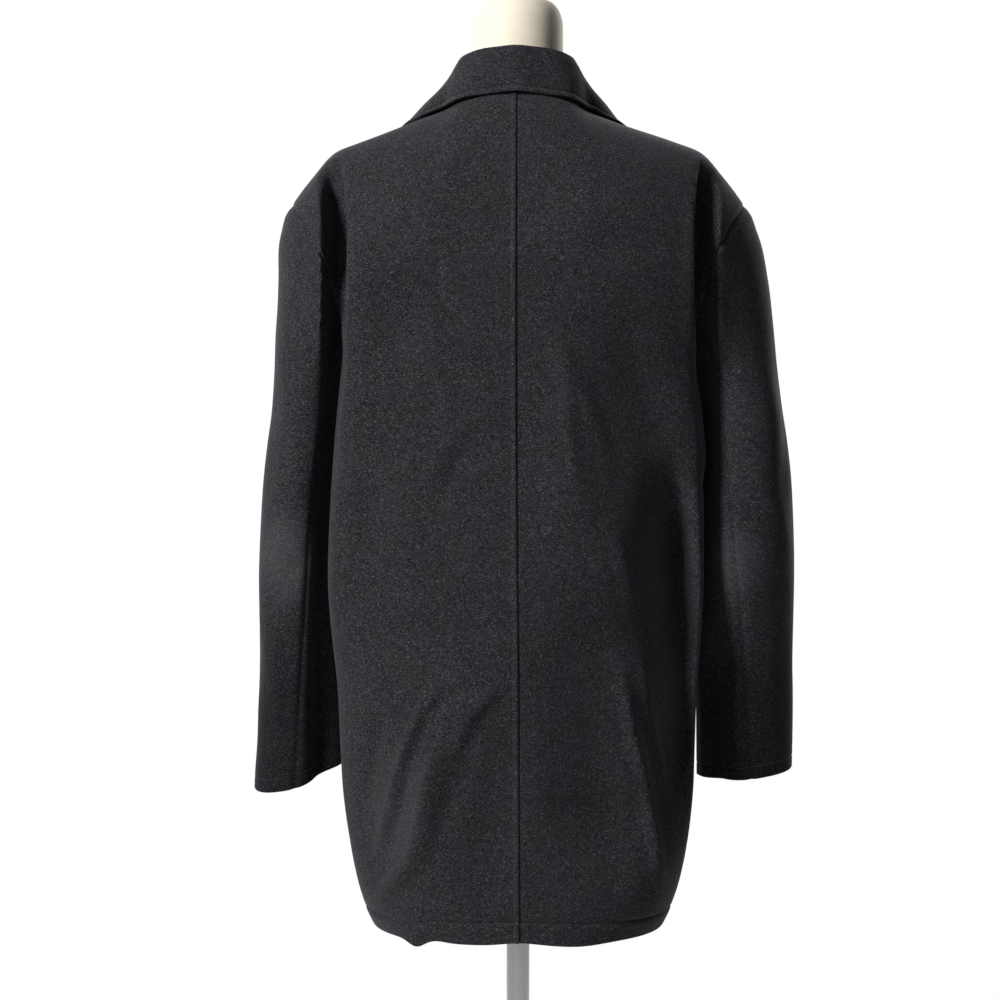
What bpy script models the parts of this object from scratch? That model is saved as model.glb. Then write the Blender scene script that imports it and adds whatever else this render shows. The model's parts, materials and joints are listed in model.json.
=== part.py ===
"""A single-breasted wool coat on a limbless dress form with a pole and a round base.

Metres, +Z up. The coat's front faces -Y and its left side is +X. The origin is the centre of the
base's underside. Every piece of cloth starts as its outer face, a grid laid on a surface that is
worked out from the tables below, and gets its inner face from the same points, moved inwards.
"""

import math
from collections import namedtuple
from functools import partial

import bmesh
import bpy
import numpy as np
from mathutils import Vector

# ---- driving dimensions ----------------------------------------------------------------------
CLOTH = 0.002  # wall of the melton
SEAM = 0.0004  # gap between two pieces
LAID = CLOTH + SEAM  # how far a piece stands out from the one it lies on
REST = 0.0005  # gap where the coat rests on the form's shoulders

HEM_Z = 0.5985
NECK_X, NECK_Z = 0.072, 1.486  # neck point, where collar and shoulder seam meet
BREAK_X = 0.200  # the form's shoulder ends here and the coat's drops
TIP_X = 0.248  # shoulder tip, the top of the armhole
NAPE_Y, NAPE_Z = 0.062, 1.494  # centre back of the neckline
LAP = 0.030  # each front passes the centre by this much
LAP_LIFT = 0.0070  # how far the left front stands out over the right one
LAP_BOW = 1.6  # bow of the fronts about the centre, for each square metre
LAP_FULL, LAP_FADE = 0.045, 0.050  # it keeps that out to this x, and loses it over this width

BUTTON_R, BUTTON_T = 0.014, 0.0045
BUTTON_Z = (1.165, 1.030, 0.895)
BUTTON_GAP = 0.0006
LEVEL_HEIGHT = 0.12  # more than the height of any level, for finding a button's place

POLE_R = 0.0125
BASE_R, BASE_T = 0.200, 0.014
BASE_EDGE, HUB_EDGE = 0.008, 0.003  # their bevelled edges
HUB_R, HUB_T = 0.030, 0.030
JOIN = 0.0003  # gap between the stand's and the form's pieces
FORM_BOTTOM_Z = 0.745
FORM_NECK_Z = 1.490
FORM_NECK_X, FORM_NECK_Y = 0.0495, 0.053
FORM_SHOULDER_X = 0.197
NECK_TOP_Z = 1.5855
CAP_R, CAP_T = 0.043, 0.020

# The shoulder line as (x, z), from the neck over the form's shoulder end to the tip.
SHOULDER = [(0.040, 1.4978), (NECK_X, NECK_Z), (0.128, 1.4635), (0.176, 1.4465),
            (BREAK_X, 1.4365), (0.225, 1.4095), (TIP_X, 1.3790)]

# A level of a panel: the point on the centre line (z, y), the point that the corner of the
# section leans to (corner_x, corner_y), and the side edge (edge_x, edge_y, edge_z). front_x is
# where the front's own edge runs: straight, then along the roll line of the lapel.
Level = namedtuple("Level", "z y corner_x corner_y edge_x edge_y edge_z front_x")
BACK = [
    Level(HEM_Z, 0.150, 0.160, 0.104, 0.157, 0.000, HEM_Z, 0.0),
    Level(0.630, 0.154, 0.184, 0.106, 0.166, 0.000, 0.630, 0.0),
    Level(0.680, 0.157, 0.209, 0.108, 0.170, 0.000, 0.680, 0.0),
    Level(0.750, 0.160, 0.231, 0.112, 0.168, 0.000, 0.750, 0.0),
    Level(0.850, 0.159, 0.242, 0.118, 0.164, 0.000, 0.850, 0.0),
    Level(0.960, 0.144, 0.256, 0.121, 0.161, 0.000, 0.960, 0.0),
    Level(1.050, 0.133, 0.258, 0.123, 0.158, 0.000, 1.050, 0.0),
    Level(1.130, 0.129, 0.252, 0.125, 0.158, 0.000, 1.130, 0.0),
    Level(1.195, 0.130, 0.242, 0.127, 0.160, 0.000, 1.195, 0.0),
    Level(1.245, 0.132, 0.220, 0.131, 0.178, 0.054, 1.222, 0.0),
    Level(1.300, 0.133, 0.197, 0.134, 0.199, 0.088, 1.275, 0.0),
]
FRONT = [
    Level(HEM_Z, 0.150, 0.160, 0.104, 0.157, 0.000, HEM_Z, -LAP),
    Level(0.630, 0.152, 0.178, 0.104, 0.166, 0.000, 0.630, -LAP),
    Level(0.680, 0.152, 0.193, 0.106, 0.170, 0.000, 0.680, -LAP),
    Level(0.750, 0.151, 0.204, 0.108, 0.168, 0.000, 0.750, -LAP),
    Level(0.850, 0.147, 0.210, 0.108, 0.164, 0.000, 0.850, -LAP),
    Level(0.960, 0.141, 0.212, 0.108, 0.161, 0.000, 0.960, -LAP),
    Level(1.050, 0.141, 0.212, 0.111, 0.158, 0.000, 1.050, -LAP),
    Level(1.130, 0.146, 0.210, 0.115, 0.158, 0.000, 1.130, -LAP),
    Level(1.195, 0.150, 0.206, 0.118, 0.160, 0.000, 1.195, -LAP),
    Level(1.245, 0.150, 0.197, 0.122, 0.172, 0.048, 1.222, -0.018),
    Level(1.300, 0.145, 0.187, 0.124, 0.189, 0.080, 1.272, 0.008),
]
BLADE = float(len(BACK) - 1)  # from this level, counted in rows, the panels close over the shoulder
UNDERARM = BLADE - 2.0  # the armhole starts here
TOP = BLADE + 1.0
LAP_TOP = BLADE - 0.4  # the lap's lift dies away over the level above this one
RISE = [0.0, 0.2, 0.4, 0.6, 0.8, 0.92, 1.0]  # stops over the shoulder, close at its ridge
NECK_T = 0.3  # share of the back's width that the neckline takes at the top
BREAK_T = 0.8  # share of the width at which the shoulder drops
FLAT_SHARE = 0.62  # a section stays flat out to this share of its corner
NECK_SQUARE = 0.9  # under 1 makes the round of the neckline squarer
NECK_FLAT = 1.45  # over 1 flattens the arc over the shoulder, here next to the neck
RIDGE_LATE = 1.6  # over 1 lets the arc move outwards late, here at the armhole

# A soft fold of a panel as a line in (x, z) from its upper to its lower end, its half width, and
# how far it stands out as a ridge or, below zero, sinks in as a trough.
Fold = namedtuple("Fold", "x_up z_up x_low z_low half_width height")
BACK_FOLDS = [
    Fold(-0.075, 1.210, -0.165, 0.820, 0.045, -0.0060),
    Fold(-0.045, 1.190, -0.060, 1.000, 0.040, 0.0035),
    Fold(-0.100, 0.900, -0.140, 0.600, 0.040, 0.0060),
    Fold(0.035, 0.900, 0.125, 0.620, 0.050, 0.0070),
    Fold(0.000, 0.860, 0.045, 0.590, 0.040, -0.0050),
]
FRONT_FOLDS = [
    Fold(0.070, 0.930, 0.115, 0.600, 0.045, 0.0060),
    Fold(-0.075, 0.960, -0.130, 0.610, 0.050, 0.0065),
    Fold(-0.060, 0.850, -0.070, 0.590, 0.040, -0.0045),
]
FOLD_END_T, FOLD_FADE_T = 0.60, 0.25  # the folds die away towards the side seam

# A level of a sleeve: height, centre, half its width and depth, and the angles of the back and
# front seams, in degrees from the outer side round by the back.
Ring = namedtuple("Ring", "z x y half_x half_y back_seam front_seam")
SLEEVE = {
    "left": [
        Ring(0.746, 0.2450, -0.056, 0.0515, 0.046, 88, 240),
        Ring(0.800, 0.2430, -0.050, 0.0510, 0.049, 90, 240),
        Ring(0.880, 0.2410, -0.036, 0.0495, 0.054, 96, 240),
        Ring(0.985, 0.2390, -0.018, 0.0475, 0.059, 106, 240),
        Ring(1.080, 0.2355, -0.014, 0.0455, 0.064, 114, 238),
        Ring(1.150, 0.2305, -0.016, 0.0420, 0.067, 120, 236),
    ],
    "right": [
        Ring(0.751, 0.2555, -0.056, 0.0535, 0.046, 88, 240),
        Ring(0.800, 0.2550, -0.050, 0.0540, 0.049, 90, 240),
        Ring(0.880, 0.2535, -0.036, 0.0540, 0.054, 96, 240),
        Ring(0.985, 0.2525, -0.018, 0.0530, 0.059, 106, 240),
        Ring(1.080, 0.2515, -0.014, 0.0495, 0.064, 114, 238),
        Ring(1.150, 0.2485, -0.016, 0.0435, 0.067, 120, 236),
    ],
}
CUFF_SLANT = {"left": -0.26, "right": 0.10}  # rise of the cuff's edge for each metre outwards
CUFF_TURN = {"left": -0.20, "right": -0.10}  # and for each metre towards the back
BACK_SEAM_U, FRONT_SEAM_U = 0.35, 0.65  # where the seams meet the armhole, round from the tip
SEAM_U = 0.0005  # half a seam's gap as a share of the sleeve's round
ARMHOLE_V = [BLADE + rise for rise in reversed(RISE)] + [UNDERARM + k / 2 for k in (3, 2, 1, 0)]
UNDER_U, UNDER_FADE_U = 0.32, 0.25  # how far round from the underarm the sleeve points down
UNDER_OUT = Vector((0.9, 0, -0.4))  # the sleeve's way out there
CAP_FULL, UNDER_FULL = 0.72, 0.40  # the sleeve's roundness at the armhole, over and under the arm

# A station of the collar, from centre back to the gorge. The neck seam is gap over the panel at
# neck_t and neck_rise over the shoulder; the fold stands above it by stand and leans to the neck
# by lean; the outer edge is over the panel at edge_t and edge_rise, off it by lift.
Station = namedtuple("Station", "panel neck_t neck_rise gap stand lean edge_t edge_rise lift")
COLLAR = [
    Station("back", 0.00, 1.00, SEAM, 0.0490, 0.002, 0.00, 0.865, 0.0060),
    Station("back", 0.10, 1.00, SEAM, 0.0485, 0.003, 0.18, 0.840, 0.0060),
    Station("back", 0.20, 1.00, 0.001, 0.0470, 0.005, 0.34, 0.855, 0.0060),
    Station("back", 0.30, 1.00, 0.003, 0.0440, 0.012, 0.45, 0.950, 0.0060),
    Station("front", 0.00, 0.92, 0.004, 0.0370, 0.011, 0.33, 0.930, 0.0090),
    Station("front", 0.00, 0.80, 0.004, 0.0250, 0.008, 0.40, 0.770, 0.0120),
    Station("front", 0.00, 0.60, 0.004, 0.0060, 0.002, 0.41, 0.530, 0.0100),
]
FOLD_R = 0.005  # radius of the collar's roll
LAPEL_W, LAPEL_TIP = 0.088, 0.003  # width at the gorge and at the lower end
LAPEL_POWER = 0.85  # under 1 gives its outer edge some belly
LAPEL_SLOPE = 0.14  # its outer edge runs lower than the roll line by this share of a level
LAPEL_LIFT = {"left": 0.003, "right": 0.001}  # gap under the lapel where the fronts lap
LAPEL_FREE = 0.005  # and higher up
GORGE_V = BLADE + 0.60
FRONT_ACROSS = 0.26  # metres across a front for each unit of t

# A level of the form's body: height, half width, and depth at the back and the front.
Girth = namedtuple("Girth", "z half_x back front")
FORM = [
    Girth(FORM_BOTTOM_Z, 0.138, 0.100, 0.090),
    Girth(0.800, 0.156, 0.120, 0.100),
    Girth(0.860, 0.160, 0.128, 0.104),
    Girth(0.950, 0.144, 0.104, 0.100),
    Girth(1.040, 0.132, 0.092, 0.102),
    Girth(1.130, 0.140, 0.098, 0.110),
    Girth(1.220, 0.150, 0.106, 0.116),
    Girth(1.300, 0.164, 0.108, 0.110),
]
FORM_SQUARE = 0.85  # under 1 makes its sections squarer
NECK_ROUND = 0.008  # how much the top of its neck is rounded in

Lines = namedtuple("Lines", "nx ny nz fx fy fz ex ey ez")  # the collar's neck seam, fold and edge
Point = namedtuple("Point", "x y z")


# ---- curves and sections ---------------------------------------------------------------------
def smooth(table, at):
    """All columns of a table at a place counted in rows, on a Catmull-Rom curve."""
    last = len(table) - 1
    row = min(int(at), last - 1)
    f = at - row
    a, b, c, d = (np.array(table[min(max(k, 0), last)], float) for k in range(row - 1, row + 3))
    bend = (2 * a - 5 * b + 4 * c - d) * f**2 + (3 * b - a - 3 * c + d) * f**3
    return type(table[0])(*(0.5 * (2 * b + (c - a) * f + bend)))


def mix(a, b, share):
    return a + (b - a) * share


def ease(x):
    x = min(max(x, 0.0), 1.0)
    return x * x * (3 - 2 * x)


def bezier(a, b, c, d, t):
    return (1 - t) ** 3 * a + 3 * (1 - t) ** 2 * t * b + 3 * (1 - t) * t**2 * c + t**3 * d


def shoulder_z(x):
    return float(np.interp(x, *zip(*SHOULDER)))


def over_shoulder(low, top, rise, t, power):
    """A point on the quarter arc from a level's point to the shoulder line's point."""
    turn = min(rise, 1.0) * math.pi / 2
    inwards, upwards = 1 - math.cos(turn) ** power, math.sin(turn) ** power
    x = mix(low.x, top.x, upwards ** mix(1.0, RIDGE_LATE, t))
    return Vector((x, mix(low.y, top.y, inwards), mix(low.z, top.z, upwards)))


def neck_power(t):
    """The arc is flatter towards the neck and round on the shoulder."""
    return mix(NECK_FLAT, 1.0, ease(t / NECK_T))


def on_level(level, t, facing):
    """A point on a level's section, t from the centre line to the side edge."""
    start = level.front_x + SEAM / 2
    start_y = level.y - LAP_BOW * start**2
    x = bezier(start, FLAT_SHARE * level.corner_x, level.corner_x, level.edge_x, t)
    y = bezier(start_y, level.y, level.corner_y, level.edge_y, t)
    z = mix(level.z, level.edge_z, ease(t))
    return Vector((x, facing * max(y, SEAM / 2), z))


# ---- the coat's surfaces, for the left side --------------------------------------------------
def back_at(t, v):
    low = on_level(smooth(BACK, min(v, BLADE)), t, 1)
    if v <= BLADE:
        return low
    if t < NECK_T:
        turn = t / NECK_T * math.pi / 2
        top = Vector((mix(SEAM / 2, NECK_X, math.sin(turn) ** NECK_SQUARE),
                      max(NAPE_Y * math.cos(turn) ** NECK_SQUARE, SEAM / 2),
                      mix(NAPE_Z, NECK_Z, ease(t / NECK_T))))
    else:
        x = np.interp(t, [NECK_T, BREAK_T, 1.0], [NECK_X, BREAK_X, TIP_X])
        top = Vector((x, SEAM / 2, shoulder_z(x)))
    return over_shoulder(low, top, v - BLADE, t, neck_power(t))


def front_at(t, v, lap_out=0.0):
    """The front's outer face; lap_out lifts its edge over the other front."""
    point = on_level(smooth(FRONT, min(v, BLADE)), t, -1)
    if v > BLADE:
        x = np.interp(t, [0, BREAK_T, 1.0], [NECK_X, BREAK_X, TIP_X])
        top = Vector((x, -SEAM / 2, shoulder_z(x)))
        point = over_shoulder(point, top, v - BLADE, t, 1.0)
    point.y -= lap_out * (1 - ease((point.x - LAP_FULL) / LAP_FADE)) * (1 - ease(v - LAP_TOP))
    return point


def front_left_at(t, v):
    return front_at(t, v, LAP_LIFT)


def fold_height(fold, x, z):
    """How far a fold stands out at (x, z): a soft hump across its line, gone at both ends."""
    line = Vector((fold.x_low - fold.x_up, fold.z_low - fold.z_up))
    here = Vector((x - fold.x_up, z - fold.z_up))
    along, across = here.dot(line) / line.length_squared, abs(here.cross(line)) / line.length
    return fold.height * ease(1 - across / fold.half_width) * ease(4 * along) * ease(4 - 4 * along)


def folded(panel, folds, facing):
    """The surface of a panel, left or right, with the folds laid on it."""
    def placed(t, v):
        point = panel(t, v)
        out = sum(fold_height(fold, point.x, point.z) for fold in folds)
        point.y += facing * out * (1 - ease((t - FOLD_END_T) / FOLD_FADE_T))
        return point
    return placed


def armhole_at(u):
    """The armhole's point and the way out of the panel there, u round from the tip by the back."""
    panel, turn = (back_at, u / 0.5) if u <= 0.5 else (front_at, (1 - u) / 0.5)
    last = len(ARMHOLE_V) - 1
    v = float(np.interp(turn * last, range(last + 1), ARMHOLE_V))
    edge = panel(1.0, v)
    out = (edge - panel(0.98, v)).normalized()
    below = ease((UNDER_U - abs(u - 0.5)) / UNDER_FADE_U)
    return edge, mix(out, UNDER_OUT, below).normalized()


def sleeve_angle(ring, u):
    stops = [0, BACK_SEAM_U, FRONT_SEAM_U, 1]
    return math.radians(np.interp(u % 1.0, stops, [0, ring.back_seam, ring.front_seam, 360]))


def sleeve_ring(hand, u, w):
    """A point of the sleeve below the armhole, w from 0 at the cuff to 1."""
    ring = smooth(SLEEVE[hand], w * (len(SLEEVE[hand]) - 1))
    angle = sleeve_angle(ring, u)
    out, back = ring.half_x * math.cos(angle), ring.half_y * math.sin(angle)
    slope = (CUFF_SLANT[hand] * out + CUFF_TURN[hand] * back) * (1 - w) ** 2
    return Vector((ring.x + out, ring.y + back, ring.z + slope))


def sleeve_at(hand, u, w):
    """The sleeve's outer face, w from 0 at the cuff over 1 at the biceps to 2 at the armhole."""
    if w <= 1:
        return sleeve_ring(hand, u, w)
    start = sleeve_ring(hand, u, 1)
    edge, out = armhole_at(u % 1.0)
    end = edge + out * SEAM
    reach = (end - start).length
    up = (start - sleeve_ring(hand, u, 0.96)).normalized() * reach
    lead = -out * reach * mix(CAP_FULL, UNDER_FULL, ease(math.sin(math.pi * (u % 1.0)) * 1.4))
    f = w - 1
    return ((2 * f**3 - 3 * f**2 + 1) * start + (f**3 - 2 * f**2 + f) * up
            + (3 * f**2 - 2 * f**3) * end + (f**3 - f**2) * lead)


def normal_at(place, a, b, span_a, span_b):
    """The unit normal of place(a, b), with a towards the right and b upwards, within its spans."""
    step = 0.0002
    a0, a1 = max(a - step, span_a[0]), min(a + step, span_a[1])
    b0, b1 = max(b - step, span_b[0]), min(b + step, span_b[1])
    along_a, along_b = place(a1, b) - place(a0, b), place(a, b1) - place(a, b0)
    return along_a.cross(along_b).normalized()


def over_panel(panel, t, rise, lift):
    """A point over the left half of a panel's shoulder, off its outer face by lift."""
    place, outwards = (back_at, -1) if panel == "back" else (front_at, 1)
    v = BLADE + rise
    return place(t, v) + outwards * lift * normal_at(place, t, v, (0, 1), (0, TOP))


def collar_station(station):
    """Neck seam, fold and outer edge of one station, as nine numbers."""
    neck = over_panel(station.panel, station.neck_t, station.neck_rise, 0)
    neck.z += station.gap
    inwards = Vector((-neck.x, -neck.y, 0)).normalized()
    fold = neck + inwards * station.lean + Vector((0, 0, station.stand))
    edge = over_panel(station.panel, station.edge_t, station.edge_rise, station.lift)
    return Lines(*neck, *fold, *edge)


def collar_at(u, v):
    """The collar's face, u from -1 to 1 along the neck, v from the neck seam over the fold."""
    s = smooth([collar_station(station) for station in COLLAR], abs(u) * (len(COLLAR) - 1))
    neck, fold, edge = Vector(s[0:3]), Vector(s[3:6]), Vector(s[6:9])
    out = Vector((edge.x - fold.x, edge.y - fold.y, 0)).normalized()
    roll, drop = out * FOLD_R, Vector((0, 0, FOLD_R))
    inner, outer = fold - roll - drop, fold + roll - drop
    stops = [neck, mix(neck, inner, 0.5), inner, fold, outer, mix(outer, edge, 0.5), edge]
    x, y, z = smooth([Point(*stop) for stop in stops], v * (len(stops) - 1))
    return Vector((x if u >= 0 else -x, y, z))


def lapel_at(hand, s, v):
    """The lapel's face on its front, s from the roll line out, v in levels at the roll line."""
    w = (v - UNDERARM) / (GORGE_V - UNDERARM)
    width = LAPEL_W * w**LAPEL_POWER + LAPEL_TIP
    t, v = s * width / FRONT_ACROSS, v - LAPEL_SLOPE * s * w
    free = mix(LAPEL_LIFT[hand], LAPEL_FREE, ease(v - LAP_TOP))
    place = front_left_at if hand == "left" else front_at
    lift = LAID + free * ease(s / 0.15) * ease(w / 0.1)
    return place(t, v) + lift * normal_at(place, t, v, (0, 1), (0, TOP))


# ---- making pieces ---------------------------------------------------------------------------
def material(name, colour, roughness, metallic=0.0):
    made = bpy.data.materials.new(name)
    made.use_nodes = True
    shader = made.node_tree.nodes["Principled BSDF"]
    shader.inputs["Base Color"].default_value = (*colour, 1)
    shader.inputs["Roughness"].default_value = roughness
    shader.inputs["Metallic"].default_value = metallic
    return made


def add(name, mesh, finish):
    piece = bpy.data.objects.new(name, mesh)
    piece.data.materials.append(finish)
    collection.objects.link(piece)
    return piece


def grid(across, along, place):
    """A mesh of quads with a vertex at place(a, b) for each stop a across and b along."""
    bm = bmesh.new()
    inward = bm.verts.layers.float_vector.new("inward")
    bmesh.ops.create_grid(bm, x_segments=len(across) - 1, y_segments=len(along) - 1, size=0.5)
    spans = (across[0], across[-1]), (along[0], along[-1])
    for vert in bm.verts:
        a = across[round((vert.co.x + 0.5) * (len(across) - 1))]
        b = along[round((vert.co.y + 0.5) * (len(along) - 1))]
        vert.co = place(a, b)
        vert[inward] = normal_at(place, a, b, *spans)
    return bm


def finish_mesh(bm, name):
    bmesh.ops.recalc_face_normals(bm, faces=bm.faces)
    mesh = bpy.data.meshes.new(name)
    bm.to_mesh(mesh)
    bm.free()
    mesh.shade_smooth()
    return mesh


def cloth(name, across, along, place, inwards):
    """A piece of cloth: a grid for its outer face, and an inner face CLOTH further in.

    inwards is 1 where the surface's own normal points into the coat, and else -1.
    """
    bm = grid(across, along, place)
    inward = bm.verts.layers.float_vector["inward"]
    wall = bmesh.ops.extrude_face_region(bm, geom=bm.faces[:], use_keep_orig=True)
    for item in wall["geom"]:
        if isinstance(item, bmesh.types.BMVert):
            item.co += item[inward] * inwards * CLOTH
    add(name, finish_mesh(bm, name), wool)


def mirrored(place, hand):
    """The same surface on the left, or turned over to the right."""
    def placed(a, b):
        point = place(a, b)
        return point if hand == "left" else Vector((-point.x, point.y, point.z))
    return placed


def steps(start, stop, count):
    return [float(x) for x in np.linspace(start, stop, count + 1)]


def turned(name, profile, finish, segments=48):
    """A solid turned about +Z from its (radius, height) profile, outer side top to bottom."""
    bm = bmesh.new()
    verts = [bm.verts.new((r, 0, z)) for r, z in profile]
    for a, b in zip(verts, verts[1:]):
        bm.edges.new((a, b))
    piece = add(name, finish_mesh(bm, name), finish)
    screw = piece.modifiers.new("Turn", "SCREW")
    screw.steps = screw.render_steps = segments
    screw.use_merge_vertices = True
    screw.merge_threshold = 0.00001
    return piece


# ---- the pieces ------------------------------------------------------------------------------
def coat():
    levels = steps(0, UNDERARM, 14)[:-1] + steps(UNDERARM, BLADE, 4)[:-1]
    levels += [BLADE + rise for rise in RISE]
    back_stops = steps(0, NECK_T, 6)[:-1] + steps(NECK_T, 1, 7)
    lengths = steps(0, 1, 10)[:-1] + steps(1, 2, 5)
    for hand, side in (("left", 1), ("right", -1)):
        front = front_left_at if hand == "left" else front_at
        back_face = folded(mirrored(back_at, hand), BACK_FOLDS, 1)
        cloth(f"back_{hand}", back_stops, levels, back_face, side)
        front_face = folded(mirrored(front, hand), FRONT_FOLDS, -1)
        cloth(f"front_{hand}", steps(0, 1, 10), levels, front_face, -side)
        turned_back = [v for v in levels if UNDERARM <= v <= GORGE_V]
        lapel = mirrored(partial(lapel_at, hand), hand)
        cloth(f"lapel_{hand}", steps(0, 1, 5), turned_back, lapel, -side)
        sleeve = mirrored(partial(sleeve_at, hand), hand)
        over = steps(FRONT_SEAM_U, 1 + BACK_SEAM_U, 14)
        under = steps(BACK_SEAM_U, FRONT_SEAM_U, 6)
        cloth(f"sleeve_top_{hand}", trimmed(over), lengths, sleeve, -side)
        cloth(f"sleeve_under_{hand}", trimmed(under), lengths, sleeve, -side)
    cloth("collar", steps(-1, 1, 4 * (len(COLLAR) - 1)), steps(0, 1, 9), collar_at, -1)


def buttons():
    """Three buttons on the left front, over the centre, each a turned disc laid flat on it."""
    rim = 0.0012
    profile = [(0, BUTTON_T - 2 * rim), (BUTTON_R * 0.6, BUTTON_T - 2 * rim),
               (BUTTON_R * 0.75, BUTTON_T), (BUTTON_R - rim, BUTTON_T),
               (BUTTON_R, BUTTON_T - rim), (BUTTON_R, rim), (BUTTON_R - rim, 0), (0, 0)]
    for number, height in enumerate(BUTTON_Z, 1):
        centre, out = button_seat(height)
        button = turned(f"button_{number}", profile, horn, 32)
        button.rotation_euler = out.to_track_quat("Z", "Y").to_euler()
        button.location = centre + out * BUTTON_GAP


def button_seat(height):
    """Where the left front's outer face crosses x = 0 at a height, and its way out."""
    t, v = 0.0, UNDERARM / 2
    for _ in range(30):
        here = front_left_at(t, v)
        t -= here.x / (2 * FRONT_ACROSS)
        v += (height - here.z) / LEVEL_HEIGHT
    return front_left_at(t, v), normal_at(front_left_at, t, v, (0, 1), (0, TOP))


def trimmed(stops):
    """The stops of a piece of the sleeve, drawn in by half a seam at both ends."""
    return [stops[0] + SEAM_U, *stops[1:-1], stops[-1] - SEAM_U]


def form_at(u, v):
    """The form's body, u once round from centre back by the left, v in levels."""
    quarter = u * 4
    t = quarter % 2 if quarter % 2 <= 1 else 2 - quarter % 2
    left, back = quarter <= 2, quarter <= 1 or quarter >= 3
    girth = smooth(FORM, min(v, len(FORM) - 1))
    turn = t * math.pi / 2
    depth = girth.back if back else girth.front
    low = Vector((girth.half_x * math.sin(turn) ** FORM_SQUARE,
                  depth * math.cos(turn) ** FORM_SQUARE, girth.z))
    point = low
    if v > len(FORM) - 1:
        bend = min(t / NECK_T, 1.0) * math.pi / 2
        top = Vector((FORM_NECK_X * math.sin(bend), FORM_NECK_Y * math.cos(bend), FORM_NECK_Z))
        if t >= NECK_T:
            x = np.interp(t, [NECK_T, 1.0], [FORM_NECK_X, FORM_SHOULDER_X])
            top = Vector((x, 0, min(FORM_NECK_Z, shoulder_z(x) - CLOTH - REST)))
        point = over_shoulder(low, top, v - (len(FORM) - 1), t, neck_power(t))
    return Vector((point.x if left else -point.x, point.y if back else -point.y, point.z))


def neck_at(u, w):
    """The form's neck, u once round, w up to its rounded top."""
    around = u * 2 * math.pi
    inset = NECK_ROUND * ease((w - 0.85) / 0.15)
    return Vector(((FORM_NECK_X - inset) * math.sin(around),
                   (FORM_NECK_Y - inset) * math.cos(around),
                   mix(FORM_NECK_Z + JOIN, NECK_TOP_Z, w)))


def filled(name, around, up, place):
    """A solid of the form: a grid that closes on itself once round, with its ends filled."""
    bm = grid(around, up, place)
    bmesh.ops.remove_doubles(bm, verts=bm.verts, dist=0.00001)
    bmesh.ops.holes_fill(bm, edges=[edge for edge in bm.edges if edge.is_boundary], sides=0)
    add(name, finish_mesh(bm, name), linen)


def dress_form():
    top = len(FORM) - 1
    up = steps(0, top, 14)[:-1] + [top + rise for rise in RISE]
    filled("form_torso", steps(0, 1, 40), up, form_at)
    filled("form_neck", steps(0, 1, 32), [0, 0.3, 0.6, 0.85, 0.94, 1.0], neck_at)
    cap = [(0, CAP_T), (0.5 * CAP_R, 0.93 * CAP_T), (0.85 * CAP_R, 0.6 * CAP_T),
           (CAP_R, 0.15 * CAP_T), (CAP_R, 0), (0, 0)]
    turned("form_cap", cap, paint).location.z = NECK_TOP_Z + JOIN


def stand():
    pole_low, pole_high = HUB_T + JOIN, FORM_BOTTOM_Z - JOIN
    pole = [(0, pole_high), (POLE_R, pole_high), (POLE_R, pole_low), (0, pole_low)]
    turned("stand_pole", pole, paint, 24)
    base = [(0, HUB_T), (HUB_R - HUB_EDGE, HUB_T), (HUB_R, HUB_T - HUB_EDGE), (HUB_R, BASE_T),
            (BASE_R - BASE_EDGE, BASE_T), (BASE_R, BASE_T - BASE_EDGE), (BASE_R, 0), (0, 0)]
    turned("stand_base", base, paint, 64)


for thing in list(bpy.data.objects):
    bpy.data.objects.remove(thing, do_unlink=True)
collection = bpy.data.collections.new("wool_coat_on_dress_form")
bpy.context.scene.collection.children.link(collection)

wool = material("charcoal_wool", (0.026, 0.025, 0.029), 0.95)
horn = material("dark_horn", (0.012, 0.010, 0.009), 0.35)
linen = material("cream_linen", (0.80, 0.74, 0.62), 0.90)
paint = material("white_paint", (0.85, 0.85, 0.84), 0.35)

coat()
buttons()
dress_form()
stand()
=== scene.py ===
# %% [markdown]
# # A wool coat on a dress form
#
# A coat is a few flat pieces of cloth, sewn into rounds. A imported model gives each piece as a
# faceted wall, at its real size and place. This lesson reads the outer face of each wall as a net
# of points, draws a smooth surface through the net, and then does what a tailor and a wearer do
# to it: it presses seams, turns hems, stitches edges, and lets soft folds hang from the
# shoulders.

# %% The frame
import json
import math
from collections import namedtuple

import bmesh
import bpy
import numpy as np
from mathutils import Matrix, Vector

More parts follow.
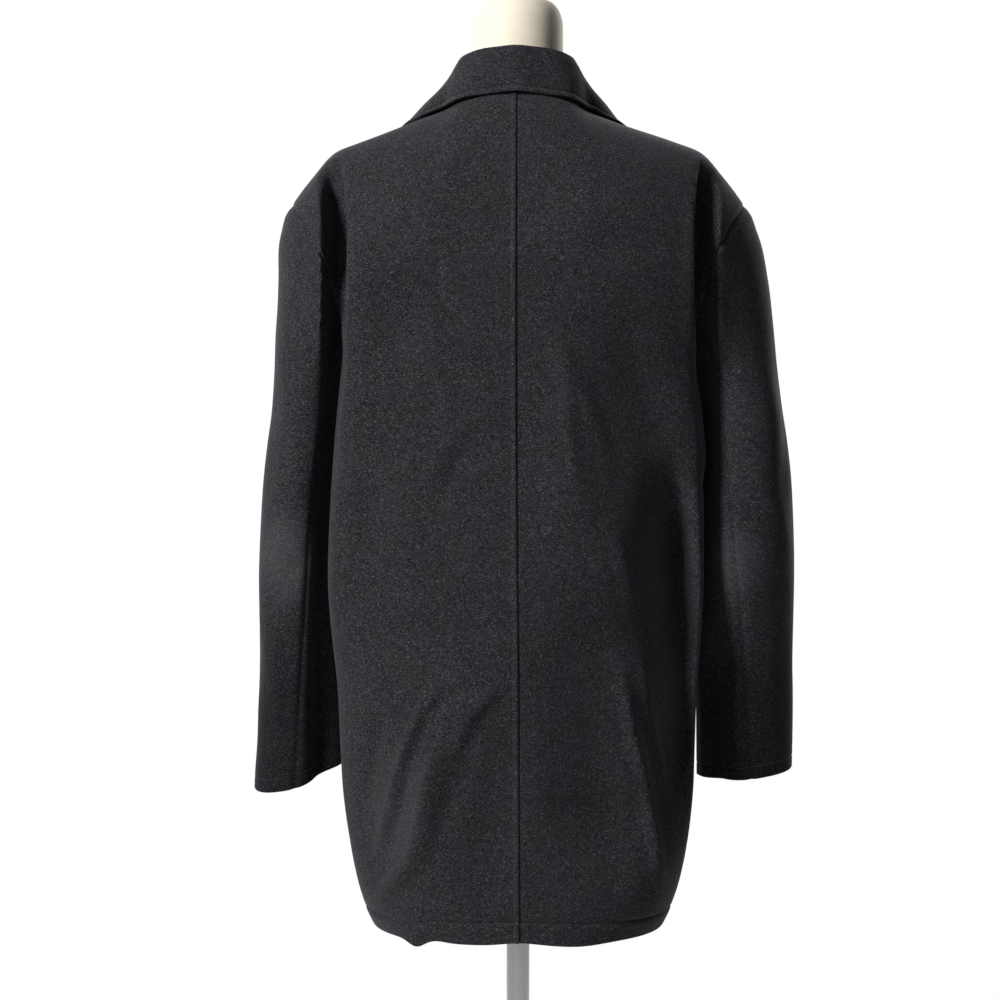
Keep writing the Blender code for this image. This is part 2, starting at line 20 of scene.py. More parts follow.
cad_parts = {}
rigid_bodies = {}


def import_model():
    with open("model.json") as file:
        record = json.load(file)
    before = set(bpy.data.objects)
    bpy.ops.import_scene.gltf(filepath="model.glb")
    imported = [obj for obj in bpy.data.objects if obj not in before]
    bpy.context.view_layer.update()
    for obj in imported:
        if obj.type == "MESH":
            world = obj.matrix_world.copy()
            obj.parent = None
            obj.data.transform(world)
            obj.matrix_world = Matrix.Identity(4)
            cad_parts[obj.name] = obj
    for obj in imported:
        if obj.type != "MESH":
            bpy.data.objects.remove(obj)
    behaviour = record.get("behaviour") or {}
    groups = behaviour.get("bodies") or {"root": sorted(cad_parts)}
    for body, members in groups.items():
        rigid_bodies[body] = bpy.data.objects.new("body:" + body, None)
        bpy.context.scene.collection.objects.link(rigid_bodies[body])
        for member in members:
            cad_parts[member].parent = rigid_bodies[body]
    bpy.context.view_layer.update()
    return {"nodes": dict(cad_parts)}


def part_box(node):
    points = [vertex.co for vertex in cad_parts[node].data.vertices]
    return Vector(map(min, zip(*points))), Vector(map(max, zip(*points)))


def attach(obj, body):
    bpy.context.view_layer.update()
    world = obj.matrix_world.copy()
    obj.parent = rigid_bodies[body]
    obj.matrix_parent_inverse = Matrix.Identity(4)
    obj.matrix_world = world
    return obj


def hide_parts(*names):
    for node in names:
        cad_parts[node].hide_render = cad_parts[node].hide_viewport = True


for thing in list(bpy.data.objects):
    bpy.data.objects.remove(thing, do_unlink=True)

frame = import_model()
print("the frame has", len(frame["nodes"]), "nodes")

# %% [markdown]
# ## Camera, light and floor
#
# The camera stands behind the coat, level with its waist, 2.2 m from the pole. Dark cloth shows
# its folds only if one side is clearly brighter, so a large soft lamp stands far round to the
# left, and a weaker one opens the shadows from the camera's side. Two more light the front in the
# same way, and one hangs overhead. The world is plain white. It is there to be seen, and its
# light doesn't fall on the cloth, because light from all sides would flatten every fold.

# %% The camera
EYE_DISTANCE, EYE_HEIGHT, EYE_SIDE = 2.2, 1.056, 0.0198  # from the pole and from the floor
LENS, SENSOR = 72, 36  # millimetres

camera = bpy.data.objects.new("camera", bpy.data.cameras.new("camera"))
bpy.context.scene.collection.objects.link(camera)
camera.location = (EYE_SIDE, EYE_DISTANCE, EYE_HEIGHT)
camera.rotation_euler = (math.radians(90), 0, math.radians(180))
camera.data.lens, camera.data.sensor_width = LENS, SENSOR
bpy.context.scene.camera = camera
bpy.context.scene.view_settings.view_transform = "Standard"
print(f"the camera is {EYE_DISTANCE} m behind the pole, {EYE_HEIGHT} m up, with a {LENS} mm lens")

# %% The lights
CHEST = Vector((0, 0, 1.10))
Lamp = namedtuple("Lamp", "place size light")  # light is 1 where it makes white cloth just white
LAMPS = {
    "key": Lamp((2.02, 2.02, 2.62), 0.8, 1.26),
    "camera_fill": Lamp((0.8, 3.0, 1.1), 1.4, 0.07),
    "front_key": Lamp((-1.9, -2.4, 2.3), 1.2, 0.78),
    "front_fill": Lamp((1.7, -2.5, 2.2), 1.2, 0.55),
    "overhead": Lamp((0.2, 0.2, 3.1), 1.8, 0.06),
}

for name, lamp in LAMPS.items():
    light = bpy.data.lights.new(name, "AREA")
    aim = CHEST - Vector(lamp.place)
    light.size, light.energy = lamp.size, lamp.light * math.pi**2 * aim.length_squared
    thing = bpy.data.objects.new(name, light)
    bpy.context.scene.collection.objects.link(thing)
    thing.location = lamp.place
    thing.rotation_euler = aim.to_track_quat("-Z", "Y").to_euler()
    print(f"{name} lamp: {light.energy:.0f} W")

# %% The world and the floor
world = bpy.data.worlds.new("studio")
bpy.context.scene.world = world
world.use_nodes = True
world.node_tree.nodes["Background"].inputs["Color"].default_value = (1, 1, 1, 1)
world.node_tree.nodes["Background"].inputs["Strength"].default_value = 1.0
world.cycles_visibility.diffuse = False

FLOOR_R, FLOOR_Z = 1.45, -0.001  # just under the stand, so that the two don't flicker
bm = bmesh.new()
bmesh.ops.create_circle(bm, cap_ends=True, radius=FLOOR_R, segments=96)
bmesh.ops.translate(bm, verts=bm.verts, vec=(0, 0, FLOOR_Z))
floor_mesh = bpy.data.meshes.new("floor")
bm.to_mesh(floor_mesh)
bm.free()
floor = bpy.data.objects.new("floor", floor_mesh)
bpy.context.scene.collection.objects.link(floor)
print(f"the floor is round, {2 * FLOOR_R:.1f} m across")

# %% [markdown]
# ## Shader maths as plain expressions
#
# A material is a graph of small nodes. Written out node by node it is hard to read, so a small
# class wraps a node's output, and `+`, `-` and `*` on it add Math nodes. `1 - mask` works as
# well, because the reflected forms are there. Every other node comes from one method,
# `Finish.node`.


# %% A value in a material
class Value:
    """A node's output. Arithmetic on it adds Math nodes to its finish."""

    def __init__(self, finish, socket):
        self.finish, self.socket = finish, socket

    def math(self, operation, *values):
        return self.finish.node("Math", {"operation": operation}, *values)

    def __add__(self, other):
        return self.math("ADD", self, other)

    def __sub__(self, other):
        return self.math("SUBTRACT", self, other)

    def __rsub__(self, other):
        return self.math("SUBTRACT", other, self)

    def __mul__(self, other):
        return self.math("MULTIPLY", self, other)

    __radd__, __rmul__ = __add__, __mul__

    def clamped(self):
        return self.finish.node("Clamp", {}, self)

    def between(self, low, high):
        """0 where the value is at low, 1 where it is at high, and smooth in between."""
        settings = {"interpolation_type": "SMOOTHSTEP"}
        return self.finish.node("MapRange", settings, self, low, high, 0.0, 1.0)


# %% A finish
class Finish:
    """A material with a Principled shader, whose constant values are set on its sockets."""

    def __init__(self, name, **constants):
        self.material = bpy.data.materials.new(name)
        self.material.use_nodes = True
        self.tree = self.material.node_tree
        self.shader = self.tree.nodes["Principled BSDF"]
        for socket, value in constants.items():
            self.shader.inputs[socket.replace("_", " ")].default_value = value

    def node(self, kind, settings, *values, output=0):
        """Adds a node: its settings first, then the values or links of its sockets in order."""
        made = self.tree.nodes.new("ShaderNode" + kind)
        for key, value in settings.items():
            setattr(made, key, value)
        for number, value in enumerate(values):
            if value is not None:
                self.put(made.inputs[number], value)
        return Value(self, made.outputs[output])

    def put(self, socket, value):
        if isinstance(value, Value):
            self.tree.links.new(value.socket, socket)
        else:
            socket.default_value = value

    def feed(self, socket, value):
        self.put(self.shader.inputs[socket], value)

    def place(self):
        """Object coordinates, which are metres in the frame."""
        return self.node("TexCoord", {}, output=3)

    def stretched(self, vector, scale):
        """A pattern's place, multiplied along each axis; less than 1 makes the pattern longer."""
        return self.node("VectorMath", {"operation": "MULTIPLY"}, vector, scale)

    def noise(self, vector, scale, detail=2.0, roughness=0.5):
        return self.node("TexNoise", {}, vector, None, scale, detail, roughness)

    def mixed(self, share, dark, light):
        """A colour from dark to light."""
        made = self.tree.nodes.new("ShaderNodeMix")
        made.data_type = "RGBA"
        for socket, value in ((0, share), (6, dark), (7, light)):
            self.put(made.inputs[socket], (*value, 1) if isinstance(value, tuple) else value)
        return Value(self, made.outputs[2])

    def bump(self, height, strength, depth):
        """Feeds the Normal with a relief; depth is in metres for a height of 1."""
        self.feed("Normal", self.node("Bump", {}, strength, depth, None, height))


# %% [markdown]
# ## Wool melton
#
# Melton is a heavy wool cloth, woven, shrunk and brushed until its weave hardly shows. This one
# is charcoal, spun from fibres of several greys, so from near it is a mix of millimetre flecks
# that run slightly along the weft. Its short nap catches light at grazing angles, which is the
# sheen here, a constant. The elbows are paler, the folds at the left of the hem get a painted
# highlight, and the forearms are darker with painted shade. An image of cloth would need a flat
# map of every piece and would repeat. Noise needs neither: it reads Object coordinates, in
# metres, so it keeps its scale on all pieces and runs on across the seams.

# %% The wool's patterns
FLECKS, MOTTLES, SPECKS, PITS = 640, 230, 830, 760  # noise scales, in patterns to the metre
BLOTCHES, DRIFT = 17, 31
ALONG_WEFT, SPECKS_ALONG = (0.72, 0.72, 1.0), (0.60, 0.60, 1.0)

wool = Finish("melton", Roughness=0.95, Sheen_Weight=0.06, Sheen_Roughness=0.5,
              Sheen_Tint=(0.80, 0.80, 0.88, 1), Specular_IOR_Level=0.08)
place = wool.place()
weft = wool.stretched(place, ALONG_WEFT)
flecks = wool.noise(weft, FLECKS, 2.0, 0.65)
specks = wool.noise(wool.stretched(place, SPECKS_ALONG), SPECKS, 1.0, 0.5)
pits = wool.noise(weft, PITS, 1.0, 0.5)
blotches = wool.noise(place, BLOTCHES, 3.0, 0.55)
drift = wool.noise(place, DRIFT, 2.0, 0.5)
print(f"the wool's flecks are about {1000 / FLECKS:.1f} mm across")

# %% Paler elbows, a painted highlight on the hem and painted shade on the forearms
PALER_ELBOWS_AND_PAINTED_HIGHLIGHT = (  # the paler elbows and the painted highlight on the creased left hem: middle, one over the half size, and how much paler
    ((0.250, 0.045, 0.992), (20.0, 14.0, 15.0), 1.15),
    ((-0.233, 0.050, 0.992), (26.0, 18.0, 20.0), 0.70),
    ((0.122, 0.110, 0.730), (20.0, 9.0, 9.0), 0.55))
FOREARMS = (0.82, 0.95), (0.205, 0.225)  # painted shade is below these heights, outside these widths

# the elbows are made paler, and the spot on the creased left hem is a painted highlight on its
# folds
lightened = 0.0
for spot, scale, paler_by in PALER_ELBOWS_AND_PAINTED_HIGHLIGHT:
    apart = wool.node("VectorMath", {"operation": "SUBTRACT"}, place, spot)
    away = wool.node("VectorMath", {"operation": "LENGTH"}, wool.stretched(apart, scale), output=1)
    lightened += (1 - away.between(0.25, 1.0)) * paler_by
# painted shade: the forearms, below FOREARMS' heights and outside its widths, are made darker and
# get fewer pale specks
height = wool.node("SeparateXYZ", {}, place, output=2)
sideways = wool.node("Math", {"operation": "ABSOLUTE"},
                     wool.node("SeparateXYZ", {}, place, output=0))
painted_forearm_shade = (1 - height.between(*FOREARMS[0])) * sideways.between(*FOREARMS[1])
print("the wool is rubbed in", len(PALER_ELBOWS_AND_PAINTED_HIGHLIGHT), "places")

# %% The wool's colour and nap
WOOL_DARK, WOOL_MID = (0.0060, 0.0057, 0.0067), (0.034, 0.033, 0.0375)
WOOL_PALE = (0.112, 0.109, 0.117)
GREENISH, PURPLISH = (0.97, 1.0, 0.96), (1.02, 0.97, 1.06)

mottle = wool.noise(weft, MOTTLES, 2.0, 0.6)
# the tone rises at the paler elbows and the painted highlight on the hem folds, and falls with the
# painted shade on the forearms
tone = (flecks.between(0.26, 0.74) * 0.70 + mottle.between(0.30, 0.70) * 0.30 + blotches * 0.40
        + lightened * 0.32 - painted_forearm_shade * 0.60 - 0.23)
body = wool.mixed(tone.clamped(), WOOL_DARK, WOOL_MID)
# fewer pale specks in the painted shade on the forearms, more at the paler elbows and the painted
# highlight
pale = specks.between(0.52, 0.74) * (0.55 - painted_forearm_shade * 0.24) + lightened * 0.14
heather = wool.mixed(pale.clamped(), body, WOOL_PALE)
shaded = wool.mixed(pits.between(0.60, 0.76) * 0.75, heather, WOOL_DARK)
tint = wool.mixed(drift.between(0.35, 0.65), GREENISH, PURPLISH)
wool.feed("Base Color", wool.node("VectorMath", {"operation": "MULTIPLY"}, shaded, tint))
wool.bump(flecks + specks * 0.6 - pits * 0.6, 0.6, 0.0011)
wool = wool.material
print("the wool has", len(wool.node_tree.nodes), "nodes")

# %% The thread
thread = Finish("thread", Roughness=0.8, Sheen_Weight=0.1)
twist = thread.noise(thread.place(), 2600, 1.0)
thread.feed("Base Color", thread.mixed(twist, (0.008, 0.007, 0.009), (0.030, 0.028, 0.034)))
thread.bump(twist, 0.4, 0.0002)
thread = thread.material
print("the finishes of the coat's cloth are", wool.name, "and", thread.name)

# %% [markdown]
# ## Horn, linen and paint
#
# The buttons are dark horn: near black, with faint brown clouds and a soft polish. The form is
# covered in unbleached linen, a plain weave with thick and thin yarns, which two crossed sets of
# ribs make. The stand is painted steel, white, with the faint ripple that a sprayed coat dries
# with. The floor is plain and pale. Each is a short graph of its own, because they share no
# pattern.

# %% The horn
horn = Finish("horn", IOR=1.50, Specular_IOR_Level=0.3, Coat_Weight=0.08, Coat_Roughness=0.3)
cloud = horn.noise(horn.stretched(horn.place(), (1.0, 1.0, 2.2)), 90, 4.0, 0.6)
horn.feed("Base Color", horn.mixed(cloud.between(0.35, 0.75), (0.006, 0.005, 0.0045),
                                   (0.045, 0.026, 0.015)))
scuffs = horn.noise(horn.place(), 900, 2.0)
horn.feed("Roughness", scuffs * 0.24 + 0.34)
horn.bump(scuffs, 0.15, 0.0001)
horn = horn.material


# %% The linen
YARNS, SLUBS = 420, 60  # wave and noise scales


def yarns(finish, vector, scale, axis):
    """Ribs of thread, side by side along an axis, a little uneven."""
    wave = {"wave_type": "BANDS", "bands_direction": axis, "wave_profile": "SIN"}
    return finish.node("TexWave", wave, vector, scale, 0.35, 1.5, 1.2, output=1)


linen = Finish("linen", Roughness=0.88, Sheen_Weight=0.12, Specular_IOR_Level=0.25)
place = linen.place()
weave = yarns(linen, place, YARNS, "Z") * 0.5 + yarns(linen, place, YARNS, "DIAGONAL") * 0.5
slubs = linen.noise(linen.stretched(place, (1.0, 1.0, 7.0)), SLUBS, 3.0, 0.6)
shade = linen.noise(place, 9, 2.0)
linen.feed("Base Color", linen.mixed((weave * 0.35 + slubs * 0.4 + shade * 0.25).clamped(),
                                     (0.72, 0.64, 0.50), (0.95, 0.88, 0.74)))
linen.bump(weave + slubs * 0.6, 0.35, 0.0003)
linen = linen.material

# %% The paint and the floor
paint = Finish("paint", IOR=1.5, Coat_Weight=0.2, Coat_Roughness=0.15)
ripple = paint.noise(paint.place(), 350, 2.0)
dust = paint.noise(paint.place(), 25, 4.0, 0.6)
paint.feed("Base Color", paint.mixed(dust, (0.78, 0.78, 0.77), (0.87, 0.87, 0.86)))
paint.feed("Roughness", dust * 0.15 + 0.25)
paint.bump(ripple, 0.12, 0.0004)
paint = paint.material

ground = Finish("ground", Roughness=0.8, Specular_IOR_Level=0.2)
trodden = ground.noise(ground.place(), 5, 4.0, 0.6)
ground.feed("Base Color", ground.mixed(trodden, (0.74, 0.74, 0.75), (0.82, 0.82, 0.82)))
floor.data.materials.append(ground.material)
print("the other finishes are", [finish.name for finish in (horn, linen, paint, ground.material)])

# %% [markdown]
# ## Reading a wall of cloth as a net
#
# Each packed wall has an outer face, an inner face 2 mm behind it, and a rim between them. The
# rim's short edges, the rungs, are exactly as long as the cloth is thick, so they are easy to
# find. With the rim's faces deleted, the two faces fall apart, and the outer one is kept: it is
# the one whose faces look away from the middle of the coat or of the sleeve. The coat's form
# could be typed in once more instead, but then the cloth would drift from the model that it has
# to sit on.
#
# A face of cloth is a grid, so its points can be put in rows again. The walk starts from a side
# on the rim. The neighbours of a row that haven't been used yet are the next row.

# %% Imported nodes
MERGE = 0.00001  # vertices nearer than this are one


def merged(node):
    """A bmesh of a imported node, with its loose triangles joined."""
    bm = bmesh.new()
    bm.from_mesh(frame["nodes"][node].data)
    bmesh.ops.remove_doubles(bm, verts=bm.verts, dist=MERGE)
    return bm


def middle(*nodes):
    """The middle of several nodes' boxes."""
    low, high = zip(*(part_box(node) for node in nodes))
    return (Vector(map(min, zip(*low))) + Vector(map(max, zip(*high)))) / 2


# %% From a wall to its outer face
CLOTH, EXACT = 0.002, 5e-6  # a packed wall's thickness, and how closely a rung keeps to it


def linked(start):
    """All vertices that edges join to one vertex, step by step."""
    found, todo = {start}, [start]
    while todo:
        here = todo.pop()
        for edge in here.link_edges:
            other = edge.other_vert(here)
            if other not in found:
                found.add(other)
                todo.append(other)
    return found


def facing_out(face, inside):
    """How much of a face looks away from a point, on the level; below zero it looks inwards."""
    away = face.calc_center_median() - inside
    away.z = 0
    return face.normal.dot(away) * face.calc_area()


def outer_face(node, inside):
    """A bmesh of one wall's outer face."""
    bm = merged(node)
    rungs = [edge for edge in bm.edges if abs(edge.calc_length() - CLOTH) < EXACT]
    rim = {face for edge in rungs for face in edge.link_faces}
    bmesh.ops.delete(bm, geom=list(rim), context="FACES_ONLY")
    bmesh.ops.delete(bm, geom=[edge for edge in bm.edges if edge.is_wire], context="EDGES")
    one_side = linked(next(iter(bm.faces)).verts[0])
    score = {True: 0.0, False: 0.0}
    for face in bm.faces:
        score[face.verts[0] in one_side] += facing_out(face, inside)
    keep = score[True] > score[False]
    lost = [vert for vert in bm.verts if (vert in one_side) != keep]
    bmesh.ops.delete(bm, geom=lost, context="VERTS")
    return bm


# %% From the outer face to rows of points
STRIPS = {"back": (13, 24), "front": (10, 24), "lapel": (5, 7), "collar": (24, 9),
          "sleeve_top": (14, 15), "sleeve_under": (6, 15)}  # strips across and along each net


def rim_of(bm):
    """The vertices round an open face, in order."""
    start = next(vert for vert in bm.verts if vert.is_boundary)
    rim, before, here = [start], None, start
    while True:
        ahead = [edge.other_vert(here) for edge in here.link_edges if edge.is_boundary]
        after = ahead[0] if ahead[0] != before else ahead[1]
        if after == start:
            return rim
        rim.append(after)
        before, here = here, after


def next_row(row, used, left, right):
    """The row beside one, from its left to its right end, or None if this isn't a row."""
    beside = {edge.other_vert(vert) for vert in row for edge in vert.link_edges} - used
    if len(beside) != len(row) or left not in beside or right not in beside:
        return None
    found = [left]
    while found[-1] != right:
        near = {edge.other_vert(found[-1]) for edge in found[-1].link_edges}
        ahead = [vert for vert in near & beside if vert not in found]
        if len(ahead) != 1:
            return None
        found.append(ahead[0])
    return found if len(found) == len(row) else None


def rows_of(ring, across, along):
    """All rows of a net whose rim starts at a corner and runs along its first row."""
    rows, used = [ring[:across + 1]], set(ring[:across + 1])
    left = [ring[0], *reversed(ring[2 * across + along:])]
    right = ring[across:across + along + 1]
    for k in range(1, along + 1):
        row = next_row(rows[-1], used, left[k], right[k])
        if row is None:
            return None
        rows.append(row)
        used.update(row)
    return rows


# %% From the rows to a net
def total_length(net):
    """The length of all rows and columns of a net."""
    return sum(np.linalg.norm(np.diff(net, axis=axis), axis=2).sum() for axis in (0, 1))


def net_of(node, inside):
    """The points of a wall's outer face, as an array of rows."""
    across, along = next(size for kind, size in STRIPS.items() if node.startswith(kind))
    bm = outer_face(node, inside)
    rim, found = rim_of(bm), []
    for start in range(len(rim)):
        rows = rows_of(rim[start:] + rim[:start], across, along)
        if rows:
            found.append(np.array([[vert.co[:] for vert in row] for row in rows]))
    bm.free()
    return min(found, key=total_length)  # a walk from a wrong start takes longer steps


def in_order(net, first, growing):
    """The net turned so that its rows rise by `first` and each row's points by `growing`."""
    if first(net[0]).mean() > first(net[-1]).mean():
        net = net[::-1]
    if growing(net[:, 0]).mean() > growing(net[:, -1]).mean():
        net = net[:, ::-1]
    return net


# %% All nets of the coat
POLE_AXIS = Vector((0, 0, 1))
nets = {}
for hand in ("left", "right"):
    for kind in ("back", "front", "lapel"):
        net = net_of(f"{kind}_{hand}", POLE_AXIS)
        nets[f"{kind}_{hand}"] = in_order(net, lambda p: p[:, 2], lambda p: abs(p[:, 0]))
    arm = middle(f"sleeve_top_{hand}", f"sleeve_under_{hand}")
    for kind in ("sleeve_top", "sleeve_under"):
        net = net_of(f"{kind}_{hand}", arm)
        nets[f"{kind}_{hand}"] = in_order(net, lambda p: p[:, 2], lambda p: -p[:, 1])
nets["collar"] = in_order(net_of("collar", POLE_AXIS), lambda p: np.hypot(p[:, 0], p[:, 1]),
                          lambda p: p[:, 0])
for name, net in nets.items():
    print(f"{name}: {net.shape[0]} rows of {net.shape[1]} points")

# %% [markdown]
# ## A smooth surface through a net
#
# The net's points are 20 to 60 mm apart. A Subdivision Surface would smooth them, but it draws in
# from its points, and the seams would open. A cubic curve through each row and each column keeps
# every point: at each stop it takes the slope of the parabola through the stop and its two
# neighbours. One place on such a curve is a weighted sum of the net's points, so the whole
# surface is two small tables of weights and one multiplication. Lengths along it, measured from
# an edge, then place seams, hems and stitches.


# %% A smooth curve as weights
def curve_weights(knots, places):
    """Weights of a net's stops for places on a smooth curve through them, a row for each place."""
    count, gaps = len(knots), np.diff(knots)
    stop = np.eye(count)
    rise = np.diff(stop, axis=0) / gaps[:, None]
    share = (gaps[:-1] / (gaps[:-1] + gaps[1:]))[:, None]
    slope = np.zeros((count, count))
    slope[1:-1] = rise[:-1] * (1 - share) + rise[1:] * share
    slope[0], slope[-1] = 2 * rise[0] - slope[1], 2 * rise[-1] - slope[-2]
    first = np.clip(np.searchsorted(knots, places, side="right") - 1, 0, count - 2)
    f = ((places - knots[first]) / gaps[first])[:, None]
    gap = gaps[first][:, None]
    here = (2 * f**3 - 3 * f**2 + 1) * stop[first] + (f**3 - 2 * f**2 + f) * gap * slope[first]
    ahead = (3 * f**2 - 2 * f**3) * stop[first + 1] + (f**3 - f**2) * gap * slope[first + 1]
    return here + ahead


def knots_of(net, axis):
    """The mean length of cloth from the first stop to each stop along an axis of the net."""
    steps = np.linalg.norm(np.diff(net, axis=axis), axis=2).mean(axis=1 - axis)
    return np.concatenate([[0], np.cumsum(steps)])


# %% Lengths and ways out
NEVER_ZERO = 1e-12


def lengths_from(points, axis, reverse=False):
    """The length of cloth from an edge to each point along an axis."""
    steps = np.linalg.norm(np.diff(points, axis=axis), axis=2)
    pad = np.zeros_like(np.take(steps, [0], axis=axis))
    if reverse:
        steps = np.flip(steps, axis=axis)
    run = np.concatenate([pad, np.cumsum(steps, axis=axis)], axis=axis)
    return np.flip(run, axis=axis) if reverse else run


def normals_of(points):
    """The unit normal at each point of a grid, across turned into along."""
    along, across = np.gradient(points, axis=0), np.gradient(points, axis=1)
    normal = np.cross(across, along)
    return normal / np.maximum(np.linalg.norm(normal, axis=2, keepdims=True), NEVER_ZERO)


# %% A piece of cloth
class Cloth:
    """A piece of cloth on its net: points in rows, the way out at each, and lengths to the edges.

    start and end are the lengths to the first and the last column, low and high those to the rows.
    """

    def __init__(self, net, inside, across, along):
        rows = curve_weights(knots_of(net, 0), along)
        columns = curve_weights(knots_of(net, 1), across)
        self.points = np.einsum("ri,ijk,cj->rck", rows, net, columns)
        away = (self.points - np.array(inside)) * (1, 1, 0)
        self.out = normals_of(self.points)
        self.sign = 1.0 if (self.out * away).sum() > 0 else -1.0
        self.out *= self.sign
        self.start = lengths_from(self.points, 1)
        self.end = lengths_from(self.points, 1, reverse=True)
        self.low = lengths_from(self.points, 0) + along[0]
        self.high = lengths_from(self.points, 0, reverse=True)

    @property
    def x(self):
        return self.points[..., 0]

    @property
    def y(self):
        return self.points[..., 1]

    @property
    def z(self):
        return self.points[..., 2]

    def moved(self, points):
        """Takes new points, and finds the ways out again."""
        self.points, self.out = points, normals_of(points) * self.sign

    def relax(self, share, rounds):
        """Draws each inner point towards the middle of its four neighbours by its share."""
        share, p = share[1:-1, 1:-1, None], self.points.copy()
        for _ in range(rounds):
            mean = (p[:-2, 1:-1] + p[2:, 1:-1] + p[1:-1, :-2] + p[1:-1, 2:]) / 4
            p[1:-1, 1:-1] += share * (mean - p[1:-1, 1:-1])
        self.moved(p)

    def sink(self, depth):
        """Moves the cloth straight forward by a depth in metres, one for each point."""
        self.moved(self.points - depth[..., None] * (0, 1, 0))

    def push(self, height):
        """Moves the cloth outwards by a height in metres, one for each point, and settles it."""
        self.moved(settled(self.points + height[..., None] * self.out))


# %% What the nets measure
def measured(net):
    """The width, length and area of a net, in metres."""
    across = np.linalg.norm(np.diff(net, axis=1), axis=2).sum(axis=1).max()
    along = np.linalg.norm(np.diff(net, axis=0), axis=2).sum(axis=0).max()
    a, b, c, d = net[:-1, :-1], net[:-1, 1:], net[1:, 1:], net[1:, :-1]
    area = np.linalg.norm(np.cross(c - a, d - b), axis=2).sum() / 2
    return across, along, area


for name, net in nets.items():
    print("{}: {:.3f} m wide, {:.3f} m long, {:.4f} square metres".format(name, *measured(net)))

# %% [markdown]
# ## Pressing, turning and draping
#
# The smooth surface is still a bare pattern piece. Three things make it cloth. Seams: both edges
# roll in a little where they meet, so a seam reads as a fine groove. Hems: the cloth turns round
# a small radius and runs back up inside. Folds: cloth that hangs from a shoulder gathers into
# long soft ridges and troughs, steep on one side and easy on the other. A cloth simulation finds
# folds of its own, and other ones after any small change. This coat's folds have their places, so
# each is a line that is listed, with its height and a width for each of its sides.

# %% Soft forms
def eased(x):
    """0 up to 0, 1 from 1 on, and smooth in between."""
    x = np.clip(x, 0, 1)
    return x * x * (3 - 2 * x)


def hump(distance, width):
    """1 in the middle of a soft ridge, and near 0 from twice its width on."""
    return np.exp(-(distance / width) ** 2)


def groove(distance, depth, width):
    """How deep a soft groove is at a distance from its middle."""
    return depth * hump(distance, width)


print("at its width a hump is", round(float(hump(1.0, 1.0)), 3), "of its height")

# %% Creases
CURVE_STOPS = 25  # on the smooth line of a crease
FADE = 3.5  # one over the share of a crease that fades at each end
Crease = namedtuple("Crease", "line height plus minus")
# A line has three stops or more, each (x, z); plus and minus are widths towards +x and -x.


def crease_height(crease, x, z):
    """How far a crease stands out at (x, z). It fades towards both ends of its line."""
    stops = np.array(crease.line, float)
    knots = np.concatenate([[0], np.cumsum(np.linalg.norm(np.diff(stops, axis=0), axis=1))])
    line = curve_weights(knots, np.linspace(0, knots[-1], CURVE_STOPS)) @ stops
    nearest, side, share = np.full(x.shape, np.inf), np.zeros(x.shape), np.zeros(x.shape)
    for number, (a, b) in enumerate(zip(line[:-1], line[1:])):
        d = b - a
        f = np.clip(((x - a[0]) * d[0] + (z - a[1]) * d[1]) / d.dot(d), 0, 1)
        dx, dz = x - a[0] - f * d[0], z - a[1] - f * d[1]
        away = np.hypot(dx, dz)
        closer = away < nearest
        nearest = np.where(closer, away, nearest)
        side = np.where(closer, d[0] * dz - d[1] * dx, side)
        share = np.where(closer, (number + f) / (len(line) - 1), share)
    width = np.where(side > 0, crease.plus, crease.minus)
    return crease.height * hump(nearest, width) * eased(FADE * share) * eased(FADE - FADE * share)


def creased(creases, x, z):
    """The height of all creases together."""
    return sum((crease_height(crease, x, z) for crease in creases), np.zeros(x.shape))


# %% [markdown]
# ## The creases behind the arms, and soft pushes
#
# Where an empty sleeve hangs against the back, the cloth of both falls into one deep crease. It
# crosses the armhole seam, and so do the soft pushes that bring edges to their places. Such
# changes move every point by its place alone, whatever piece it is on, so a seam can't open.

# %% The deep creases and the pushes
HOLLOW = np.array([  # a height, how far out the crease's inner edge is there, and its depth
    (1.060, 0.1900, 0.000), (1.130, 0.1880, 0.012), (1.180, 0.1830, 0.030), (1.225, 0.1815, 0.040),
    (1.260, 0.1810, 0.056), (1.300, 0.1800, 0.064), (1.350, 0.1800, 0.060), (1.380, 0.1830, 0.050),
    (1.400, 0.1860, 0.031), (1.414, 0.1885, 0.012), (1.424, 0.1900, 0.000)])
HOLLOW_WALL, HOLLOW_FLOOR, HOLLOW_SLOPE = 0.0040, 0.0130, 0.0190  # widths, from the inside out
HOLLOW_LEAD = 0.25  # the share of the inner wall that lies inside the edge
HOLLOW_RIGHT, HOLLOW_SHALLOW = 0.004, 0.60  # the right one lies this much further out, less deep
BEHIND = 0.07  # from here back the cloth takes the whole of a fall; the side seam takes none

Nudge = namedtuple("Nudge", "x z wide high dx dz")  # a soft push, strongest at (x, z)
NUDGES = [
    Nudge(0.000, 1.250, 0.080, 0.450, 0.0038, 0.0000),
    Nudge(0.108, 0.598, 0.011, 0.030, 0.0000, -0.0070),
    Nudge(0.085, 0.598, 0.012, 0.030, 0.0000, 0.0015),
    Nudge(0.000, 0.598, 0.025, 0.030, 0.0000, 0.0028),
    Nudge(-0.065, 0.598, 0.030, 0.030, 0.0000, -0.0025),
    Nudge(0.270, 1.290, 0.035, 0.050, -0.0045, 0.0000),
    Nudge(0.195, 0.960, 0.030, 0.090, 0.0030, 0.0000),
    Nudge(-0.112, 1.475, 0.040, 0.035, 0.0055, 0.0000),
    Nudge(0.112, 1.475, 0.040, 0.035, 0.0030, 0.0000),
]


